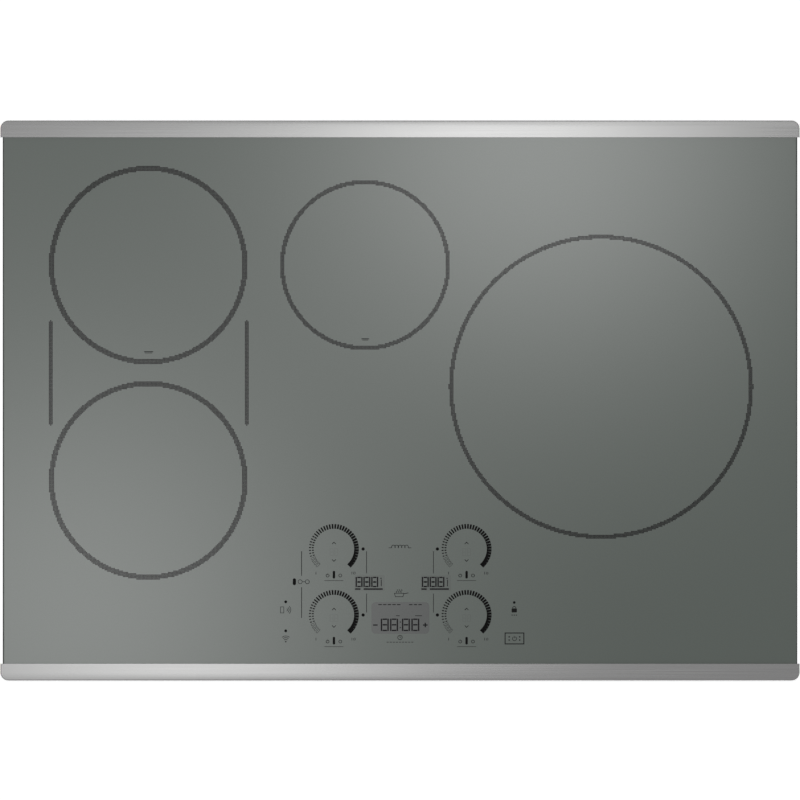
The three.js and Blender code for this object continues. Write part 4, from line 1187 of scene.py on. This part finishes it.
def light_guide(height, steps=40):
    """An open ring under a dial's ticks."""
    arc = [math.radians(-47 + 274 * i / steps) for i in range(steps + 1)]
    outline = [polar(24, a) for a in arc] + [polar(18.5, a) for a in reversed(arc)]
    count = len(outline)
    verts, faces = prism(outline, 0, height)
    faces = [face for face in faces if len(face) == 4]
    for level in (0, 1):
        for i in range(steps):
            quad = (i, i + 1, count - 2 - i, count - 1 - i)
            faces.append(tuple(level * count + k for k in (quad if level else reversed(quad))))
    return verts, faces


def build_touch_board():
    """The touch board, with a light guide and lamps under each dial and three display modules."""
    low, high, centre = extent("control_board")
    board = Board("control_board", low.z + BOARD_SHEET)
    height = high.z - board.top
    for side in (-1, 1):
        for y in DIAL_YS:
            x0, y0 = side * DIAL_X - centre.x, y - centre.y
            board.add(GUIDE, light_guide(height), x0, y0)
            for i in range(10):
                angle = math.radians(225 - 30 * i)
                board.add(CERAMIC, prism(rounded(1.4, 1.0, 0.3, 2), 0, 0.9), *polar(14, angle, x0, y0), turn=angle)
        board.can(BLACK_PLASTIC, side * DISPLAY_X, DISPLAY_Y - centre.y, 15, 7.5, height)
    board.can(BLACK_PLASTIC, 0, -206 - centre.y, 28, 14.5, height)
    board.chips([(x, y) for x in (-100, 100) for y in (38, 20)], 7, 7, 1.6)
    board.finish()


# ---------------------------------------------------------------- blowers

BLADES = 32
INTAKE_RADIUS = 38


def build_impeller(name):
    """A forward-curved fan wheel that replaces the CAD impeller."""
    node = f"{name}_blower_impeller"
    low, high, centre = extent(node)
    radius = (high.x - low.x) / 2
    height = high.z - low.z
    wheel = Batch()
    place = moved(centre.x, centre.y, low.z)
    wheel.add(tube([(2.8, height - 1.6), (radius, height - 1.6), (radius, height), (18, height), (16, height - 0.6),
                    (6, height - 0.6), (5, height), (2.8, height)], 64), place)
    wheel.add(tube([(radius - 7.5, 0.4), (radius - 6.9, 0), (radius - 0.4, 0), (radius, 0.4), (radius, 1.6),
                    (radius - 7.5, 1.6)], 64), place)
    wheel.add(tube([(2.8, 3.6), (4.6, 3.6), (6.5, 9), (13, height - 4), (15, height - 1), (2.8, height - 1)], 40),
              place)
    shares = [k / 6 for k in range(7)]
    outline = []
    for side, order in ((-0.55, shares), (0.55, reversed(shares))):
        for share in order:
            r = radius - 7.2 + 6.9 * share
            outline.append(polar(r, 0.256 * share ** 2 - 0.03 + side / r))
    for i in range(BLADES):
        wheel.add(prism(outline, 0.9, height - 1.0), place @ spun(TURN * i / BLADES))
    wheel.finish(f"{name}_blower_fan", BLACK_PLASTIC, body=f"{name}_blower_rotor", sharp=45, replaces=node)


def build_housing(name):
    """A blower's scroll: open below the impeller and at its rear mouth, closed on top by the motor."""
    node = f"{name}_blower_housing"
    low, high = span(node)
    fan = middle(f"{name}_blower_impeller")
    radius = (high.x - low.x) / 2
    wall = 2.0

    def scroll(inset, mouth):
        """The housing from above, with its mouth at a given depth."""
        half = radius * 0.483 - inset
        start = math.acos(half / (radius - inset))
        sweep = [math.pi - start + i / 72 * (math.pi + 2 * start) for i in range(73)]
        return [polar(radius - inset, angle, fan.x, fan.y) for angle in sweep] + [(fan.x + half, mouth),
                                                                                 (fan.x - half, mouth)]

    shell = make(f"{name}_blower_scroll", *prism(scroll(0, high.y), low.z, high.z), [BLACK_PLASTIC], replaces=node)
    cut(shell, [prism(scroll(wall, high.y + 1), low.z + wall, high.z - wall),
                prism(ring(INTAKE_RADIUS, 72, fan.x, fan.y), low.z - 1, low.z + wall + 1)])
    smooth(shell, 40)
    soften(shell, 0.5)
    split = low.z + 0.62 * (high.z - low.z)
    flange = make(f"{name}_scroll_flange", *prism(scroll(-1.0, high.y - 4), split, split + 2.2), [BLACK_PLASTIC])
    cut(flange, [prism(scroll(0.4, high.y), split - 1, split + 4)])
    smooth(flange, 40)
    ears, screws = Batch(), Batch()
    for degrees in (165, 215, 270, 325, 375):
        place = moved(*polar(radius + 2.2, math.radians(degrees), fan.x, fan.y), split)
        ears.add(turned(((0, -7), (1.4, -7), (2.6, -2.5), (3.4, -2.0), (3.4, 3.0), (3.1, 3.4), (0, 3.4)), 28), place)
        screws.add(screw_head(2.2, 1.3), place @ moved(0, 0, 3.5))
    rib = prism(((27, -0.5), (radius - 9, -0.5), (radius - 9, 0.5), (27, 0.5)), high.z - 0.6, high.z + 0.9)
    for i in range(12):
        ears.add(rib, moved(fan.x, fan.y) @ spun(i * TURN / 12 + 0.2))
    ears.finish(f"{name}_scroll_ears", BLACK_PLASTIC)
    screws.finish(f"{name}_scroll_screws", ZINC, sharp=40)
    shaft = Batch()
    shaft.add(turned(((0, low.z + 8), (2.0, low.z + 8), (2.45, low.z + 8.5), (2.45, high.z - 1), (0, high.z - 1)), 20),
              moved(fan.x, fan.y))
    shaft.finish(f"{name}_motor_shaft", SPRING_STEEL)


def build_motor(name):
    """The motor on top of a blower housing: a ribbed cap on three screwed feet."""
    top = span(f"{name}_blower_housing")[1].z
    fan = middle(f"{name}_blower_impeller")
    place = moved(fan.x, fan.y, top)
    cap, screws = Batch(), Batch()
    cap.add(turned(((0, -0.2), (21, -0.2), (21, 9.5), (20, 11), (15, 12.5), (6.5, 12.8), (6, 14.4), (0, 14.4)), 48),
            place)
    for i in range(12):
        cap.add(prism(rounded(1.0, 0.7, 0.3, 2), -0.2, 9.0), place @ spun(TURN * i / 12) @ moved(21.3, 0))
    for i in range(3):
        turn = TURN * (i + 0.25) / 3
        cap.add(prism(rounded(5.5, 4.0, 2.5, 4), -0.2, 2.0), place @ spun(turn) @ moved(24.5, 0))
        screws.add(screw_head(2.3, 1.4), place @ moved(*polar(26.5, turn), 2))
    cap.finish(f"{name}_blower_motor", BLACK_PLASTIC)
    screws.finish(f"{name}_motor_screws", ZINC)


# ---------------------------------------------------------------- supply terminals and wiring

def build_terminals():
    """A clamping plate and a screw on both sides of each terminal."""
    low, high, centre = extent("terminal_block")
    screws = Batch()
    pitch = (high.x - low.x) / 4
    for i in range(4):
        for y in (centre.y - 6.5, centre.y + 6.5):
            x = low.x + pitch * (i + 0.5)
            screws.add(screw_head(3.2, 1.8), moved(x, y, low.z + 14.6))
            screws.add(prism(rounded(4.4, 5.2, 0.6, 2), -0.4, 0.7), moved(x, y, low.z + 14))
    screws.finish("terminal_screws", ZINC)


def wire(ends, radius, sag):
    """A wire through a list of points, with a soft sag between them."""
    path = []
    for a, b in zip(ends, ends[1:]):
        a, b = Vector(a), Vector(b)
        for i in range(12):
            share = i / 12
            point = a.lerp(b, share * share * (3 - 2 * share))
            point.z += sag * math.sin(math.pi * share)
            path.append(tuple(point))
    path.append(tuple(ends[-1]))
    return swept(path, circle(radius))


WIRE_COLOURS = (("black", (0.02, 0.02, 0.02)), ("red", (0.42, 0.03, 0.02)), ("white", (0.7, 0.7, 0.67)))


def build_wiring():
    """Supply wires from the terminals to the filter, and from the filter to both generator boards."""
    block = span("terminal_block")[0]
    floor_z = 6
    for n, (name, colour) in enumerate(WIRE_COLOURS):
        mat = material(f"{name}_wire_jacket", shades(*colour, 0.12), (0.35, 0.5), scale=900, bump=0.01)
        step, aside = n * 4, (n - 1) * 6
        run = Batch()
        for sag, ends in (
                (3, [(block.x + 6.5 + n * 13, block.y + 5, block.z + 16), (block.x - 26 + step, 186 - step, 14),
                     (74, 112 - step, 16), (38, 104 - n * 5, 26)]),
                (2, [(-31 + n * 9, 96, 28), (-44 + n * 5, 76, 24), (-122, 132 - step, floor_z),
                     (-262, 132 - step, floor_z), (-289.5 + aside, 104, 30)]),
                (2, [(-31 + n * 9, 94, 28), (-10 + n * 5, 76, 22), (62, 78 - step, floor_z),
                     (118, 128 - step, floor_z), (160.5 + aside, 104, 30)])):
            run.add(wire(ends, 1.5, sag))
        run.finish(f"{name}_wires", mat, slot="black_plastic", sharp=60)


# ---------------------------------------------------------------- floor, light and camera

def softbox(name, place, radius, radiance):
    """A soft area light overhead whose brightness fades smoothly from its middle."""
    light = bpy.data.lights.new(name, "AREA")
    light.shape = "SQUARE"
    light.size = 4 * radius
    light.energy = radiance * math.pi * light.size ** 2
    light.use_nodes = True
    tree = light.node_tree
    surface = node(tree, "NewGeometry", {}).outputs["Parametric"]
    centre = node(tree, "VectorMath", {0: surface, 1: (0.5, 0.5, 0)}, operation="SUBTRACT")
    value = node(tree, "VectorMath", {0: centre.outputs["Vector"]}, operation="LENGTH").outputs["Value"]
    for operation, operand in (("MULTIPLY", light.size / radius), ("POWER", 2.0), ("MULTIPLY", -1.0)):
        value = node(tree, "Math", {0: value, 1: operand}, operation=operation).outputs["Value"]
    fade = node(tree, "Math", {0: value}, operation="EXPONENT")
    tree.links.new(fade.outputs["Value"], tree.nodes["Emission"].inputs["Strength"])
    lamp = bpy.data.objects.new(name, light)
    lamp.location = place
    bpy.context.scene.collection.objects.link(lamp)


def build_stage():
    reach = 6000
    corners = ((reach, reach), (-reach, reach), (-reach, -reach), (reach, -reach))
    floor = make("floor", *prism(corners, -12, -1), [])
    mat = bpy.data.materials.new("pale_floor")
    mat.use_nodes = True
    shader = mat.node_tree.nodes["Principled BSDF"]
    for socket, value in (("Base Color", (0.9, 0.9, 0.9, 1)), ("Roughness", 0.9), ("Emission Color", (1, 1, 1, 1)),
                          ("Emission Strength", 0.84)):
        shader.inputs[socket].default_value = value
    floor.data.materials.append(mat)
    floor.parent = None

    world = bpy.data.worlds.new("studio")
    bpy.context.scene.world = world
    world.use_nodes = True
    world.node_tree.nodes["Background"].inputs["Color"].default_value = (1, 1, 1, 1)
    world.node_tree.nodes["Background"].inputs["Strength"].default_value = 0.2

    softbox("softbox_rear", (0.165, 0.319, 1.7), 0.268, 1.08)
    softbox("softbox_front", (-0.400, -0.260, 1.9), 0.318, 0.88)
    softbox("softbox_left", (-0.510, 0.360, 2.1), 0.36, 0.13)

    camera = bpy.data.cameras.new("camera")
    camera.sensor_width = 36
    camera.lens = 300
    camera.clip_end = 50
    view = bpy.data.objects.new("camera", camera)
    distance = camera.lens / camera.sensor_width * 2 * HALF_WIDTH * MM
    view.location = (0, 0.0005, TRIM_HIGH.z * MM + distance)
    bpy.context.scene.collection.objects.link(view)
    bpy.context.scene.camera = view
    bpy.context.scene.view_settings.view_transform = "Standard"


build_glass()
build_trim("rear_trim_channel", "rear_trim", False)
build_trim("front_trim_channel", "front_trim", True)
build_rings()
build_dials()
build_displays()
build_keys()
finish_cad_nodes()
build_box_hardware()
build_clamps()
build_connector()
for zone_name in ZONES:
    build_winding(zone_name)
    build_former(zone_name)
    build_pad_and_sensor(zone_name)
    build_ferrites(zone_name)
    build_sensor_leads(zone_name)
    for spring_number in (1, 2, 3):
        build_spring(zone_name, spring_number)
for side_name in ("left", "right"):
    build_generator(side_name)
    build_impeller(side_name)
    build_housing(side_name)
    build_motor(side_name)
build_filter()
build_touch_board()
build_terminals()
build_wiring()
build_stage()
